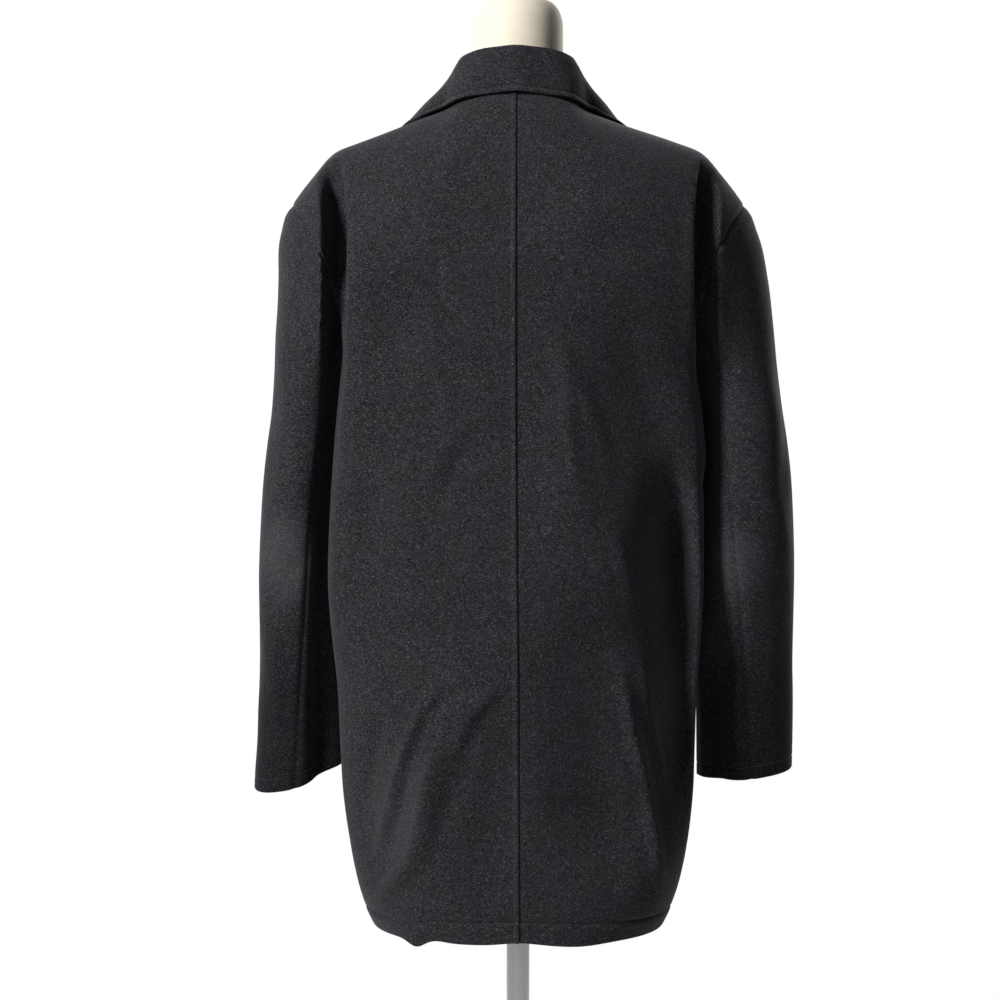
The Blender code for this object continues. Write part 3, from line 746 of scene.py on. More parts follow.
def settled(points):
    """Sinks the creases behind the arms and gives the soft pushes."""
    x, y, z = (points[..., k] for k in range(3))
    edge, depth = (np.interp(z, HOLLOW[:, 0], HOLLOW[:, k]) for k in (1, 2))
    depth = depth * np.where(x < 0, HOLLOW_SHALLOW, 1)
    past = abs(x) - edge - np.where(x < 0, HOLLOW_RIGHT, 0)
    slot = eased(HOLLOW_LEAD + past / HOLLOW_WALL)
    slot = slot * (1 - eased((past - HOLLOW_FLOOR) / HOLLOW_SLOPE))
    moved = points.copy()
    moved[..., 1] -= depth * slot * eased(y / BEHIND)
    for nudge in NUDGES:
        weight = hump(x - nudge.x, nudge.wide) * hump(z - nudge.z, nudge.high)
        moved[..., 0] += nudge.dx * weight
        moved[..., 2] += nudge.dz * weight
    return moved


print("the deepest point of the left crease is", HOLLOW[HOLLOW[:, 2].argmax()], "(z, x, depth)")

# %% [markdown]
# ## The grid, the edges and the wall
#
# A groove a millimetre wide needs rows a millimetre apart, but only there. So the grid's places
# are close together in stretches beside the edges and wide apart elsewhere. A hem turns in as
# rows on a half circle, and a seam's edge reaches on under its neighbour and sinks, as an
# allowance does, so that no light comes through. The points then go onto the vertices of a plain
# grid, and Solidify and Bevel give the cloth its thickness and its soft rim.

# %% Places for rows and columns
FINE, STEP = 0.0012, 0.005  # from row to row in the fine stretches, and at most elsewhere


def places_along(length, step, fine, start=0.0):
    """Places from start to length, closer together in the fine stretches.

    A stretch is (from, to); below zero it counts back from the end.
    """
    close = [((a, b) if a >= 0 else (length + a, length + b)) for a, b in fine]
    places = [start]
    while places[-1] < length - FINE / 2:
        here = places[-1]
        if any(a - FINE / 2 <= here < b - FINE / 2 for a, b in close):
            ahead = here + FINE
        else:
            limit = min([a for a, b in close if a > here + FINE / 2], default=length)
            ahead = here + (limit - here) / max(math.ceil((limit - here) / step - 0.01), 1)
        places.append(min(ahead, length))
    return np.array(places)


# %% Turned and reaching edges
TURN_ROWS = 8  # round the half circle of a hem
REACH_ROWS = (0.15, 0.40, 0.70, 1.00)  # shares of the reach
SUNK_BY = 1 / 1.5  # the share of the reach at which an edge has sunk
SIDES = {"top": (0, 1), "foot": (0, -1), "end": (1, 1), "start": (1, -1)}  # an axis and a way


def turned_in(points, out, radius, depth):
    """Rows added before the first: the cloth turns in, and runs back inside for a depth."""
    down = points[0] - points[1]
    down = down / np.linalg.norm(down, axis=1, keepdims=True)
    centre = points[0] - radius * out[0]
    curl = [centre + radius * (math.cos(turn) * out[0] + math.sin(turn) * down)
            for turn in np.linspace(0, math.pi, TURN_ROWS + 1)[1:]]
    run = np.linalg.norm(np.diff(points, axis=0), axis=2).mean(axis=1).cumsum()
    inner = points[1:] - 2 * radius * out[1:]
    return np.concatenate([inner[run < depth][::-1], curl[::-1], points])


def reaching(points, out, side, reach, sink):
    """Rows or columns added at a side: cloth that reaches on past its seam, sinking as it goes."""
    axis, way = SIDES[side]
    points, out = (grid.swapaxes(0, axis)[::way] for grid in (points, out))
    ahead = points[-1] - points[-2]
    ahead = ahead / np.linalg.norm(ahead, axis=1, keepdims=True)
    more = [points[-1] + share * reach * ahead - eased(share / SUNK_BY) * sink * out[-1]
            for share in REACH_ROWS]
    grown = np.concatenate([points, more]), np.concatenate([out, [out[-1]] * len(more)])
    return tuple(grid[::way].swapaxes(0, axis) for grid in grown)


# %% From points to a piece of cloth
SHARP = math.radians(50)  # edges that turn by more than this are bevelled


def gridded(name, points, sign, finish):
    """A mesh whose grid has its vertices at an array of points, with its faces outwards."""
    rows, columns = points.shape[:2]
    bm = bmesh.new()
    bmesh.ops.create_grid(bm, x_segments=columns - 1, y_segments=rows - 1, size=0.5)
    for vert in bm.verts:
        column, row = (vert.co.x + 0.5) * (columns - 1), (vert.co.y + 0.5) * (rows - 1)
        vert.co = points[round(row), round(column)]
    if sign < 0:
        bmesh.ops.reverse_faces(bm, faces=bm.faces)
    return in_scene(name, bm, finish)


def in_scene(name, bm, finish):
    """A smooth object from a bmesh, at the origin."""
    mesh = bpy.data.meshes.new(name)
    bm.to_mesh(mesh)
    bm.free()
    mesh.shade_smooth()
    mesh.materials.append(finish)
    piece = bpy.data.objects.new(name, mesh)
    bpy.context.scene.collection.objects.link(piece)
    return piece


def soften(piece, width):
    """Rounds the sharp edges of a piece."""
    edges = piece.modifiers.new("edges", "BEVEL")
    edges.width, edges.segments, edges.profile = width, 2, 0.5
    edges.limit_method, edges.angle_limit = "ANGLE", SHARP


def placed(piece, node=None):
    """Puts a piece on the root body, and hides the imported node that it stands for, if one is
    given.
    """
    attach(piece, "root")
    if node:
        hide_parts(node)


def walled(piece, thickness, edge):
    """Gives cloth its thickness, inwards, and rounds the edges of its rim."""
    wall = piece.modifiers.new("wall", "SOLIDIFY")
    wall.thickness, wall.offset, wall.use_even_offset = thickness, -1.0, False
    soften(piece, edge)


# %% [markdown]
# ## Stitches
#
# Topstitching pulls a fine groove into thick wool, and the thread lies at the bottom of it as a
# row of short beads. A bump in the material could draw them, but at an edge they have to stand up
# for themselves. Each bead is the smallest icosphere, stretched along the line, because there are
# hundreds of them. All stitches of one piece are one mesh.

# %% Rows of stitches
STITCH, STITCH_GAP, THREAD_R = 0.0027, 0.0006, 0.00032
RAISED = 0.4 * THREAD_R  # the middle of a bead above the cloth


def add_bead(bm, start, end, up):
    """One stitch of thread from start to end, on cloth whose way out is up."""
    along = (end - start).normalized()
    side = up.cross(along).normalized()
    turn = Matrix((along, side, along.cross(side))).transposed().to_4x4()
    place = (start + end) / 2 + RAISED * up
    size = Matrix.Diagonal(((end - start).length / 2, THREAD_R, THREAD_R, 1))
    bmesh.ops.create_icosphere(bm, subdivisions=1, radius=1.0,
                               matrix=Matrix.Translation(place) @ turn @ size)


def add_stitches(bm, line, out):
    """Beads along a line of points, with the way out of the cloth at each."""
    run = np.concatenate([[0], np.linalg.norm(np.diff(line, axis=0), axis=1).cumsum()])
    count = int(run[-1] / (STITCH + STITCH_GAP))
    for number in range(count):
        middle_run = (number + 0.5) * run[-1] / count
        ends = [[np.interp(at, run, line[:, k]) for k in range(3)]
                for at in (middle_run - STITCH / 2, middle_run + STITCH / 2)]
        up = Vector([np.interp(middle_run, run, out[:, k]) for k in range(3)]).normalized()
        add_bead(bm, Vector(ends[0]), Vector(ends[1]), up)


def across_at(cloth, distance, lengths):
    """Points and ways out along each row, at a length of cloth from an edge."""
    columns = np.arange(cloth.points.shape[1])
    places = []
    for row in lengths:
        order = np.argsort(row)
        places.append(np.interp(distance, row[order], columns[order]))
    low = np.clip(np.floor(places).astype(int), 0, len(columns) - 2)
    share = (np.array(places) - low)[:, None]
    rows = np.arange(len(low))
    return tuple(grid[rows, low] * (1 - share) + grid[rows, low + 1] * share
                 for grid in (cloth.points, cloth.out))


def along_at(cloth, distance, lengths):
    """Points and ways out along the row that is nearest to a length of cloth from an edge."""
    row = int(np.argmin(abs(lengths.mean(axis=1) - distance)))
    return cloth.points[row], cloth.out[row]


print(f"a stitch is {1000 * STITCH:.1f} mm long; {1 / (STITCH + STITCH_GAP):.0f} go to a metre")

# %% [markdown]
# ## Dressing a piece
#
# Each piece of cloth is finished in the same steps, so one function takes them: stitches, edges,
# hem, grid, wall, and the lines that hang it on the frame's body and hide the imported node that
# it stands for. The size that it was cut to is stated beside what was measured of its net on the
# form.

# %% Laying out and dressing
MEETS, TUCKED = (0.0007, 0.0004), (0.0040, 0.0018)  # how far an edge reaches and sinks at a seam
SHOULDER = (0.0035, 0.0008)  # less deep, because the form lies close under it
coat_pieces = {}


def dress(name, cloth, size, wall, seams, edges, hem=None, roll=None):
    """Makes a piece and its stitches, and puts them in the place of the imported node.

    size is the width, length and area that the piece was cut to, and wall its thickness and how
    far its rim is rounded. seams are lines of stitches, each with the way out along it. edges
    says of a side how far it reaches past its seam and sinks. hem is a radius and a depth, and
    roll the radius of a lapel's fold, which is its first column.
    """
    bm = bmesh.new()
    for line, out in seams:
        add_stitches(bm, line, out)
    stitches = in_scene(f"{name}_stitches", bm, thread)
    points, out = cloth.points, cloth.out
    for side, reach_and_sink in edges.items():
        points, out = reaching(points, out, side, *reach_and_sink)
    if roll:
        points = turned_in(points.swapaxes(0, 1), out.swapaxes(0, 1), roll, 0).swapaxes(0, 1)
    if hem:
        points = turned_in(points, out, *hem)
    piece = gridded(f"{name}_cloth", points, cloth.sign, wool)
    walled(piece, *wall)
    placed(piece, name)
    placed(stitches)
    coat_pieces[name] = cloth
    print("{}: cut {} by {} m, {} square metres; on the form {:.3f} by {:.3f} m, {:.4f}".format(
        name, *size, *measured(nets[name])))
    print(f"{piece.name}: {len(piece.data.polygons)} faces before its wall")


def laid_out(name, inside, across_fine, along_fine, step=STEP, start=0.0, across_start=0.0):
    """The smooth surface of a net, with close rows and columns in the fine stretches."""
    net = nets[name]
    across = places_along(knots_of(net, 1)[-1], step, across_fine, across_start)
    along = places_along(knots_of(net, 0)[-1], step, along_fine, start)
    return Cloth(net, inside, across, along)


# %% [markdown]
# ## The back
#
# Two panels meet in a lapped seam at the centre: the allowances are pressed to the left and
# stitched down 5 mm from the seam, so the left panel stands a little proud. The cloth hangs from
# the shoulder blades. It falls in at the waist on the right, swings out over the hips, and breaks
# into two long folds on each side of the hem. At the sides it stands away from the body in a
# crisp vertical fold, with the sleeve in the shadow behind it.

# %% The folds of the back
BACK_CREASES = [
    Crease([(0.183, 1.415), (0.174, 1.310), (0.180, 1.150), (0.188, 0.990), (0.186, 0.860)],
           0.0050, 0.007, 0.022),
    Crease([(-0.186, 1.415), (-0.184, 1.300), (-0.188, 1.150)], 0.0040, 0.010, 0.007),
    Crease([(-0.028, 1.245), (-0.054, 1.195), (-0.078, 1.140), (-0.096, 1.070)],
           0.0034, 0.012, 0.010),
    Crease([(-0.030, 1.225), (-0.050, 1.183), (-0.054, 1.123), (-0.063, 1.056)],
           0.0032, 0.006, 0.008),
    Crease([(-0.090, 1.045), (-0.104, 1.000), (-0.114, 0.960), (-0.124, 0.920)],
           0.0030, 0.006, 0.010),
    Crease([(-0.102, 0.905), (-0.109, 0.855), (-0.115, 0.817), (-0.1235, 0.784), (-0.132, 0.741),
            (-0.1385, 0.703), (-0.145, 0.660), (-0.152, 0.625)], 0.0080, 0.0052, 0.009),
    Crease([(-0.124, 0.905), (-0.130, 0.872), (-0.137, 0.825), (-0.148, 0.778), (-0.156, 0.740)],
           0.0042, 0.0045, 0.005),
    Crease([(0.080, 0.875), (0.104, 0.826), (0.121, 0.786), (0.130, 0.752), (0.139, 0.713),
            (0.149, 0.665)], 0.0070, 0.0065, 0.007),
    Crease([(0.068, 0.840), (0.082, 0.802), (0.092, 0.774), (0.098, 0.746), (0.106, 0.708),
            (0.118, 0.678), (0.141, 0.648), (0.166, 0.616)], 0.0106, 0.0070, 0.012),
    Crease([(0.090, 0.838), (0.1045, 0.806), (0.1155, 0.774), (0.124, 0.736), (0.137, 0.6975),
            (0.149, 0.668)], -0.0040, 0.005, 0.005),
    Crease([(0.008, 0.872), (0.0196, 0.850), (0.0385, 0.828), (0.055, 0.790), (0.068, 0.752),
            (0.080, 0.708), (0.092, 0.660)], -0.0036, 0.011, 0.014),
    Crease([(0.036, 0.868), (0.0525, 0.863), (0.0824, 0.847), (0.0984, 0.825), (0.106, 0.800)],
           -0.0040, 0.005, 0.006),
    Crease([(0.008, 0.878), (0.0247, 0.860), (0.0467, 0.840), (0.060, 0.815), (0.070, 0.788)],
           0.0032, 0.006, 0.008),
    Crease([(0.140, 0.860), (0.146, 0.815), (0.154, 0.765), (0.162, 0.715)],
           -0.0040, 0.010, 0.007),
    Crease([(0.100, 0.945), (0.055, 0.925), (0.020, 0.925), (-0.006, 0.930)],
           -0.0018, 0.010, 0.010),
    Crease([(0.035, 1.150), (0.0517, 1.134), (0.079, 1.098), (0.100, 1.060)],
           0.0024, 0.010, 0.010),
    Crease([(0.040, 1.115), (0.068, 1.080), (0.085, 1.040)], -0.0022, 0.012, 0.010),
    Crease([(0.145, 1.180), (0.150, 1.120), (0.152, 1.040), (0.158, 0.960)],
           -0.0032, 0.014, 0.024),
    Crease([(0.060, 1.077), (0.000, 1.078), (-0.060, 1.080)], -0.0014, 0.005, 0.006),
    Crease([(0.070, 1.330), (0.115, 1.250), (0.140, 1.180)], -0.0020, 0.020, 0.020),
    Crease([(-0.050, 1.320), (-0.110, 1.314), (-0.165, 1.322)], -0.0016, 0.010, 0.012),
    Crease([(-0.052, 1.305), (-0.048, 1.288), (-0.040, 1.274), (-0.047, 1.260)],
           -0.0018, 0.003, 0.003),
    Crease([(-0.200, 1.195), (-0.200, 1.140), (-0.200, 1.070)], 0.0050, 0.012, 0.020),
]
BACK_SINKS = [  # the cloth falls straight forward here, where the waist is loose
    Crease([(-0.088, 1.270), (-0.108, 1.222), (-0.130, 1.171), (-0.146, 1.121), (-0.158, 1.0715),
            (-0.170, 0.988), (-0.180, 0.900)], 0.0150, 0.036, 0.036),
    Crease([(-0.160, 1.120), (-0.170, 1.020), (-0.176, 0.900), (-0.176, 0.820), (-0.170, 0.690)],
           0.0500, 0.034, 0.014),
    Crease([(-0.188, 1.480), (-0.188, 1.300), (-0.205, 1.100), (-0.205, 0.800), (-0.195, 0.600)],
           0.0190, 0.090, 0.012),
    Crease([(-0.100, 0.990), (-0.100, 0.800), (-0.105, 0.640)], 0.0260, 0.075, 0.060),
    Crease([(0.200, 0.960), (0.200, 0.800), (0.190, 0.600)], 0.0150, 0.020, 0.090),
]
print(len(BACK_CREASES), "creases and", len(BACK_SINKS), "falls on the back")

# %% Seams, hems and the size of a back
HEM_RADIUS, HEM_DEPTH, HEM_STITCH = 0.0022, 0.038, 0.0235
SEAM_ROLL = (0.0011, 0.0026)  # the depth and the width of a groove, here and below
SHOULDER_ROLL = (0.7 * SEAM_ROLL[0], SEAM_ROLL[1])
STITCH_GROOVE = (0.0006, 0.0013)
BACK_HEM_GROOVE, BACK_HEM_PROUD = (0.0015, 0.0020), 0.0009
SEAM_STITCH, SEAM_STITCH_GROOVE = 0.0052, (0.0007, 0.0011)
LAP_PROUD, LAP_EDGE, LAP_FADE = 0.0004, 0.0060, 0.0035  # the allowances, pressed to the left
ROLLED_PROUD, ROLLED_AT, ROLLED_WIDE = 0.0015, 0.0008, 0.0028  # the rounded fold at the seam
UNDER_GROOVE = (0.0003, 0.0014)
HEM_ROWS = [(HEM_RADIUS, 0.0060), (0.0200, 0.0270), (-0.0080, 0)]  # fine stretches, from the hem
SEAM_FREE = 0.004  # folds end this far from a side seam
PANEL_WALL = (0.002, 0.0006)  # a thickness, and how far the rim is rounded
BACK_STEP = 0.0038
BACK_CUT = (0.345, 1.000, 0.272)  # a width, a length and an area, as for every piece below


def fading(lengths, over):
    """0 at a seam and 1 from a length on."""
    return eased((lengths - SEAM_FREE) / over)


# %% The back panels
for hand in ("left", "right"):
    back = laid_out(f"back_{hand}", POLE_AXIS, [(0, 0.0110), (-0.0650, -0.0300), (-0.0080, 0)],
                    HEM_ROWS, step=BACK_STEP, start=HEM_RADIUS)
    beside_collar = hump(abs(back.x) - 0.072, 0.030) * hump(back.z - 1.460, 0.050)
    back.relax(0.5 * beside_collar, 60)  # takes out a sharp bend of the net
    falls = creased(BACK_SINKS, back.x, back.z)
    back.sink(falls * eased(back.y / BEHIND) * fading(back.end, 0.03))
    lift = creased(BACK_CREASES, back.x, back.z) * fading(back.end, 0.05)
    lift -= groove(back.end, *SEAM_ROLL) + groove(back.high, *SHOULDER_ROLL)
    lift += BACK_HEM_PROUD * eased((HEM_STITCH - back.low) / 0.003)
    lift -= groove(back.low - HEM_STITCH, *BACK_HEM_GROOVE)
    if hand == "left":
        lift += LAP_PROUD * (1 - eased((back.start - LAP_EDGE) / LAP_FADE))
        lift += ROLLED_PROUD * hump(back.start - ROLLED_AT, ROLLED_WIDE)
        lift -= groove(back.start - SEAM_STITCH, *SEAM_STITCH_GROOVE)
    else:
        lift -= groove(back.start, *UNDER_GROOVE)
    back.push(lift)
    seams = [along_at(back, HEM_STITCH, back.low)]
    edges = {"top": SHOULDER, "end": TUCKED, "start": TUCKED}
    if hand == "left":
        seams.append(across_at(back, SEAM_STITCH, back.start))
        edges["start"] = MEETS
    dress(f"back_{hand}", back, BACK_CUT, PANEL_WALL, seams, edges,
          hem=(HEM_RADIUS, HEM_DEPTH))

# %% [markdown]
# ## The fronts
#
# The left front laps over the right one by 60 mm and is held by three buttons. Its edge is
# stitched 6 mm in. The cloth is quiet here: a soft pull from each button, and one long fold from
# the bust to the hem on each side. The same calls make it as make the back, with other folds.

# %% The folds and the size of the fronts
EDGE_STITCH = 0.006  # from every free edge
LAPEL_FOOT, LAPEL_FADE = 1.185, 0.02  # the fronts' own edges are stitched below this height
FRONT_CREASES = [
    Crease([(0.085, 1.150), (0.100, 0.900), (0.118, 0.640)], 0.0030, 0.018, 0.024),
    Crease([(0.140, 1.200), (0.135, 1.050), (0.150, 0.880)], -0.0030, 0.024, 0.020),
    Crease([(-0.090, 1.160), (-0.108, 0.920), (-0.135, 0.650)], 0.0032, 0.024, 0.016),
    Crease([(-0.150, 1.210), (-0.142, 1.060), (-0.155, 0.860)], -0.0028, 0.020, 0.024),
    Crease([(0.186, 1.390), (0.178, 1.280), (0.182, 1.120)], 0.0030, 0.010, 0.022),
    Crease([(-0.186, 1.390), (-0.180, 1.280), (-0.184, 1.120)], 0.0030, 0.022, 0.010),
    Crease([(0.020, 1.165), (0.075, 1.172), (0.120, 1.190)], -0.0012, 0.010, 0.012),
    Crease([(0.020, 1.030), (0.080, 1.022), (0.125, 1.030)], -0.0012, 0.012, 0.010),
    Crease([(0.055, 0.880), (0.070, 0.760), (0.080, 0.640)], -0.0020, 0.020, 0.020),
    Crease([(-0.060, 0.880), (-0.070, 0.760), (-0.090, 0.640)], -0.0020, 0.020, 0.020),
]
FRONT_CUT = (0.340, 1.020, 0.265)
print(len(FRONT_CREASES), "creases on the fronts")

# %% The front panels
for hand in ("left", "right"):
    front = laid_out(f"front_{hand}", POLE_AXIS, [(0, 0.0090), (-0.0080, 0)], HEM_ROWS,
                     start=HEM_RADIUS)
    lift = creased(FRONT_CREASES, front.x, front.z) * fading(front.end, 0.05)
    lift *= eased((front.start - 0.01) / 0.06)
    lift -= groove(front.end, *SEAM_ROLL) + groove(front.high, *SHOULDER_ROLL)
    lift -= groove(front.low - HEM_STITCH, *STITCH_GROOVE)
    below_lapel = 1 - eased((front.z - LAPEL_FOOT) / LAPEL_FADE)
    lift -= below_lapel * groove(front.start - EDGE_STITCH, *STITCH_GROOVE)
    front.push(lift)
    edge_line, edge_out = across_at(front, EDGE_STITCH, front.start)
    low = edge_line[:, 2] < LAPEL_FOOT + 0.005
    seams = [along_at(front, HEM_STITCH, front.low), (edge_line[low], edge_out[low])]
    dress(f"front_{hand}", front, FRONT_CUT, PANEL_WALL, seams, {"top": SHOULDER, "end": TUCKED},
          hem=(HEM_RADIUS, HEM_DEPTH))

# %% [markdown]
# ## Lapels and collar
#
# A lapel is the top of the front, folded back along its roll line. It is a piece of its own here,
# so its first column turns under to make the soft roll that hides the front's own edge. The
# collar is one piece that climbs from the neck seam, rolls over, and falls to an outer edge that
# is stitched like the lapels. Both are two layers of cloth, so their wall is thicker and their
# rim is rounder. The stitches draw the layers together, and the rim outside them swells: dark
# cloth shows an edge only where such a swelling catches the light.

# %% The lapels
LAPEL_ROLL, LAPEL_WALL = 0.0022, (0.0022, 0.0009)
LAPEL_GROOVE, LAPEL_RIM, RIM_FADE = (0.0013, 0.0016), 0.0008, 0.002
LAPEL_PROUD, LAPEL_CROWN, CROWN_AT, CROWN_WIDE = 0.0004, 0.0010, 0.030, 0.020
LAPEL_CUT = (0.092, 0.300, 0.0195)


def rimmed(edge, groove_form, rim):
    """The height beside a stitched edge: the stitches' groove, and the swollen rim outside it."""
    beyond = edge - EDGE_STITCH
    return rim * (1 - eased(beyond / RIM_FADE)) - groove(beyond, *groove_form)


for hand in ("left", "right"):
    lapel = laid_out(f"lapel_{hand}", POLE_AXIS, [(-0.0110, 0)], [(0, 0.0040), (-0.0090, 0)],
                     step=0.004, across_start=LAPEL_ROLL)
    lift = LAPEL_PROUD + rimmed(lapel.end, LAPEL_GROOVE, LAPEL_RIM)
    lift += LAPEL_CROWN * hump(lapel.start - CROWN_AT, CROWN_WIDE)
    lapel.push(lift * eased(lapel.start / 0.015))
    edge_line, edge_out = across_at(lapel, EDGE_STITCH, lapel.end)
    broad = (lapel.start + lapel.end)[:, 0] > 0.018  # the foot is too narrow for stitches
    dress(f"lapel_{hand}", lapel, LAPEL_CUT, LAPEL_WALL, [(edge_line[broad], edge_out[broad])],
          {}, roll=LAPEL_ROLL)

# %% The collar
COLLAR_WALL, COLLAR_FOOT = (0.0032, 0.0012), (0.0070, 0.0010)
COLLAR_GROOVE, COLLAR_RIM = (0.0015, 0.0018), 0.0010
COLLAR_CUT = (0.540, 0.138, 0.0520)

collar = laid_out("collar", POLE_AXIS, [(0, 0.0060), (-0.0060, 0)], [(-0.0140, 0)], step=0.003)
lift = rimmed(collar.high, COLLAR_GROOVE, COLLAR_RIM)
beside_neck = eased((abs(collar.x) - 0.050) / 0.030)
lift -= 0.0030 * (1 - eased(collar.high / 0.045)) * beside_neck  # it lies closer at its ends
lift -= 0.0010 * (1 - eased(collar.high / 0.030))
waves = 0.6 + 0.4 * np.sin(collar.x * 40)
lift += 0.0012 * hump(collar.high - 0.026, 0.014) * waves  # a shallow fullness along the fall
collar.push(lift)
dress("collar", collar, COLLAR_CUT, COLLAR_WALL, [along_at(collar, EDGE_STITCH, collar.high)],
      {"foot": COLLAR_FOOT})

# %% [markdown]
# ## The sleeves
#
# A tailored sleeve has two pieces, a broad top and a narrow under one, so that it can bend
# forward with the arm. Both hang empty here. The cloth creases inside the elbow, slackens behind
# it, and gathers a little above the cuff. On a tube, width and height would pinch a fold where
# the cloth turns away, so the folds are laid on the sleeve's own round: a place is an angle from
# the outer side by the back, times the sleeve's mean radius, and a height.

# %% The folds of the sleeves
SLEEVE_CREASES = {
    "left": [
        Crease([(0.035, 1.200), (0.050, 1.110), (0.030, 1.030)], -0.0022, 0.012, 0.016),
        Crease([(0.085, 1.120), (0.070, 1.040), (0.040, 0.975)], 0.0020, 0.012, 0.010),
        Crease([(0.100, 1.020), (0.075, 0.975), (0.045, 0.935)], -0.0020, 0.009, 0.012),
        Crease([(0.060, 0.950), (0.050, 0.860), (0.065, 0.780)], 0.0018, 0.010, 0.014),
        Crease([(-0.010, 0.980), (0.010, 0.900), (0.005, 0.820)], -0.0018, 0.014, 0.012),
        Crease([(-0.120, 1.010), (-0.080, 0.985), (-0.045, 0.990)], -0.0035, 0.012, 0.009),
        Crease([(-0.130, 0.950), (-0.085, 0.940), (-0.040, 0.960)], -0.0028, 0.010, 0.012),
        Crease([(-0.110, 1.090), (-0.070, 1.050), (-0.030, 1.040)], -0.0024, 0.014, 0.012),
        Crease([(-0.050, 1.270), (-0.040, 1.200), (-0.055, 1.130)], 0.0020, 0.014, 0.014),
        Crease([(0.120, 1.170), (0.120, 1.000), (0.120, 0.800), (0.120, 0.640)],
               -0.0180, 0.034, 0.020),
        Crease([(-0.207, 1.170), (-0.207, 1.000), (-0.207, 0.800), (-0.207, 0.640)],
               -0.0180, 0.034, 0.020),
        Crease([(0.060, 0.930), (0.060, 0.840), (0.060, 0.740)], -0.0060, 0.050, 0.050),
    ],
    "right": [
        Crease([(0.030, 1.210), (0.045, 1.120), (0.060, 1.040)], -0.0022, 0.014, 0.012),
        Crease([(0.085, 1.110), (0.060, 1.040), (0.035, 0.990)], 0.0018, 0.010, 0.012),
        Crease([(0.095, 1.040), (0.075, 0.985), (0.040, 0.950)], -0.0022, 0.010, 0.010),
        Crease([(0.050, 0.940), (0.060, 0.860), (0.050, 0.790)], 0.0020, 0.012, 0.012),
        Crease([(-0.015, 1.000), (0.000, 0.910), (-0.010, 0.830)], -0.0016, 0.014, 0.014),
        Crease([(-0.125, 1.020), (-0.085, 0.990), (-0.050, 0.985)], -0.0032, 0.010, 0.012),
        Crease([(-0.125, 0.960), (-0.080, 0.945), (-0.045, 0.950)], -0.0030, 0.012, 0.009),
        Crease([(-0.115, 1.080), (-0.075, 1.050), (-0.030, 1.050)], -0.0022, 0.012, 0.014),
        Crease([(-0.045, 1.260), (-0.050, 1.190), (-0.040, 1.120)], 0.0018, 0.012, 0.016),
        Crease([(0.130, 0.940), (0.128, 0.840), (0.126, 0.760), (0.126, 0.640)],
               -0.0100, 0.026, 0.018),
        Crease([(0.086, 1.240), (0.088, 1.140), (0.092, 1.000), (0.088, 0.860)],
               0.0130, 0.026, 0.044),
        Crease([(0.145, 1.210), (0.145, 1.130), (0.145, 0.980), (0.145, 0.820)],
               0.0075, 0.030, 0.024),
        Crease([(-0.182, 1.210), (-0.182, 1.130), (-0.182, 0.980), (-0.182, 0.820)],
               0.0075, 0.030, 0.024),
    ],
}
print({hand: len(creases) for hand, creases in SLEEVE_CREASES.items()}, "creases on the sleeves")

# %% The way round a sleeve
SLEEVE_RADIUS = 0.052


def round_axis(cloth, hand):
    """The length round the sleeve from its outer side by the back, for each point.

    It jumps from half the round to minus half on the inner side, so a fold there is laid twice.
    """
    rounds = np.concatenate([nets[f"sleeve_top_{hand}"], nets[f"sleeve_under_{hand}"]], axis=1)
    centre = (rounds.min(axis=1) + rounds.max(axis=1)) / 2
    x, y = (np.interp(cloth.z, centre[:, 2], centre[:, k]) for k in (0, 1))
    outwards = (cloth.x - x) * (1 if hand == "left" else -1)
    return np.arctan2(cloth.y - y, outwards) * SLEEVE_RADIUS


print(f"a sleeve's inner side is {1000 * math.pi * SLEEVE_RADIUS:.0f} mm round from its outer")

# %% Both sleeves
CUFF_DEPTH, CUFF_STITCH = 0.030, 0.0140
CUFF_ROWS = [(HEM_RADIUS, 0.0060), (0.0105, 0.0175), (-0.0100, 0)]
HEAD_FULL, HEAD_AT, HEAD_WIDE = 0.0016, 0.014, 0.010  # the cloth eased into the top of the armhole
SEAM_FULL, SEAM_AT, SEAM_WIDE = 0.0008, 0.008, 0.006  # a little fullness beside the long seams
SLEEVE_CUT = {"sleeve_top": (0.380, 0.680, 0.150), "sleeve_under": (0.200, 0.560, 0.072)}

for hand in ("left", "right"):
    arm = middle(f"sleeve_top_{hand}", f"sleeve_under_{hand}")
    for kind in ("sleeve_top", "sleeve_under"):
        name = f"{kind}_{hand}"
        sleeve = laid_out(name, arm, [(0, 0.0080), (-0.0080, 0)], CUFF_ROWS, start=HEM_RADIUS)
        lift = creased(SLEEVE_CREASES[hand], round_axis(sleeve, hand), sleeve.z)
        lift *= eased(sleeve.high / 0.06)
        for edge in (sleeve.start, sleeve.end, sleeve.high):
            lift -= groove(edge, *SEAM_ROLL)
        if kind == "sleeve_top":
            at_top = eased((sleeve.z - 1.30) / 0.06)
            lift += HEAD_FULL * hump(sleeve.high - HEAD_AT, HEAD_WIDE) * at_top
        lift += SEAM_FULL * hump(np.minimum(sleeve.start, sleeve.end) - SEAM_AT, SEAM_WIDE)
        lift -= groove(sleeve.low - CUFF_STITCH, *STITCH_GROOVE)
        sleeve.push(lift)
        dress(name, sleeve, SLEEVE_CUT[kind], PANEL_WALL,
              [along_at(sleeve, CUFF_STITCH, sleeve.low)],
              {"top": TUCKED, "end": MEETS, "start": MEETS},
              hem=(HEM_RADIUS, CUFF_DEPTH))

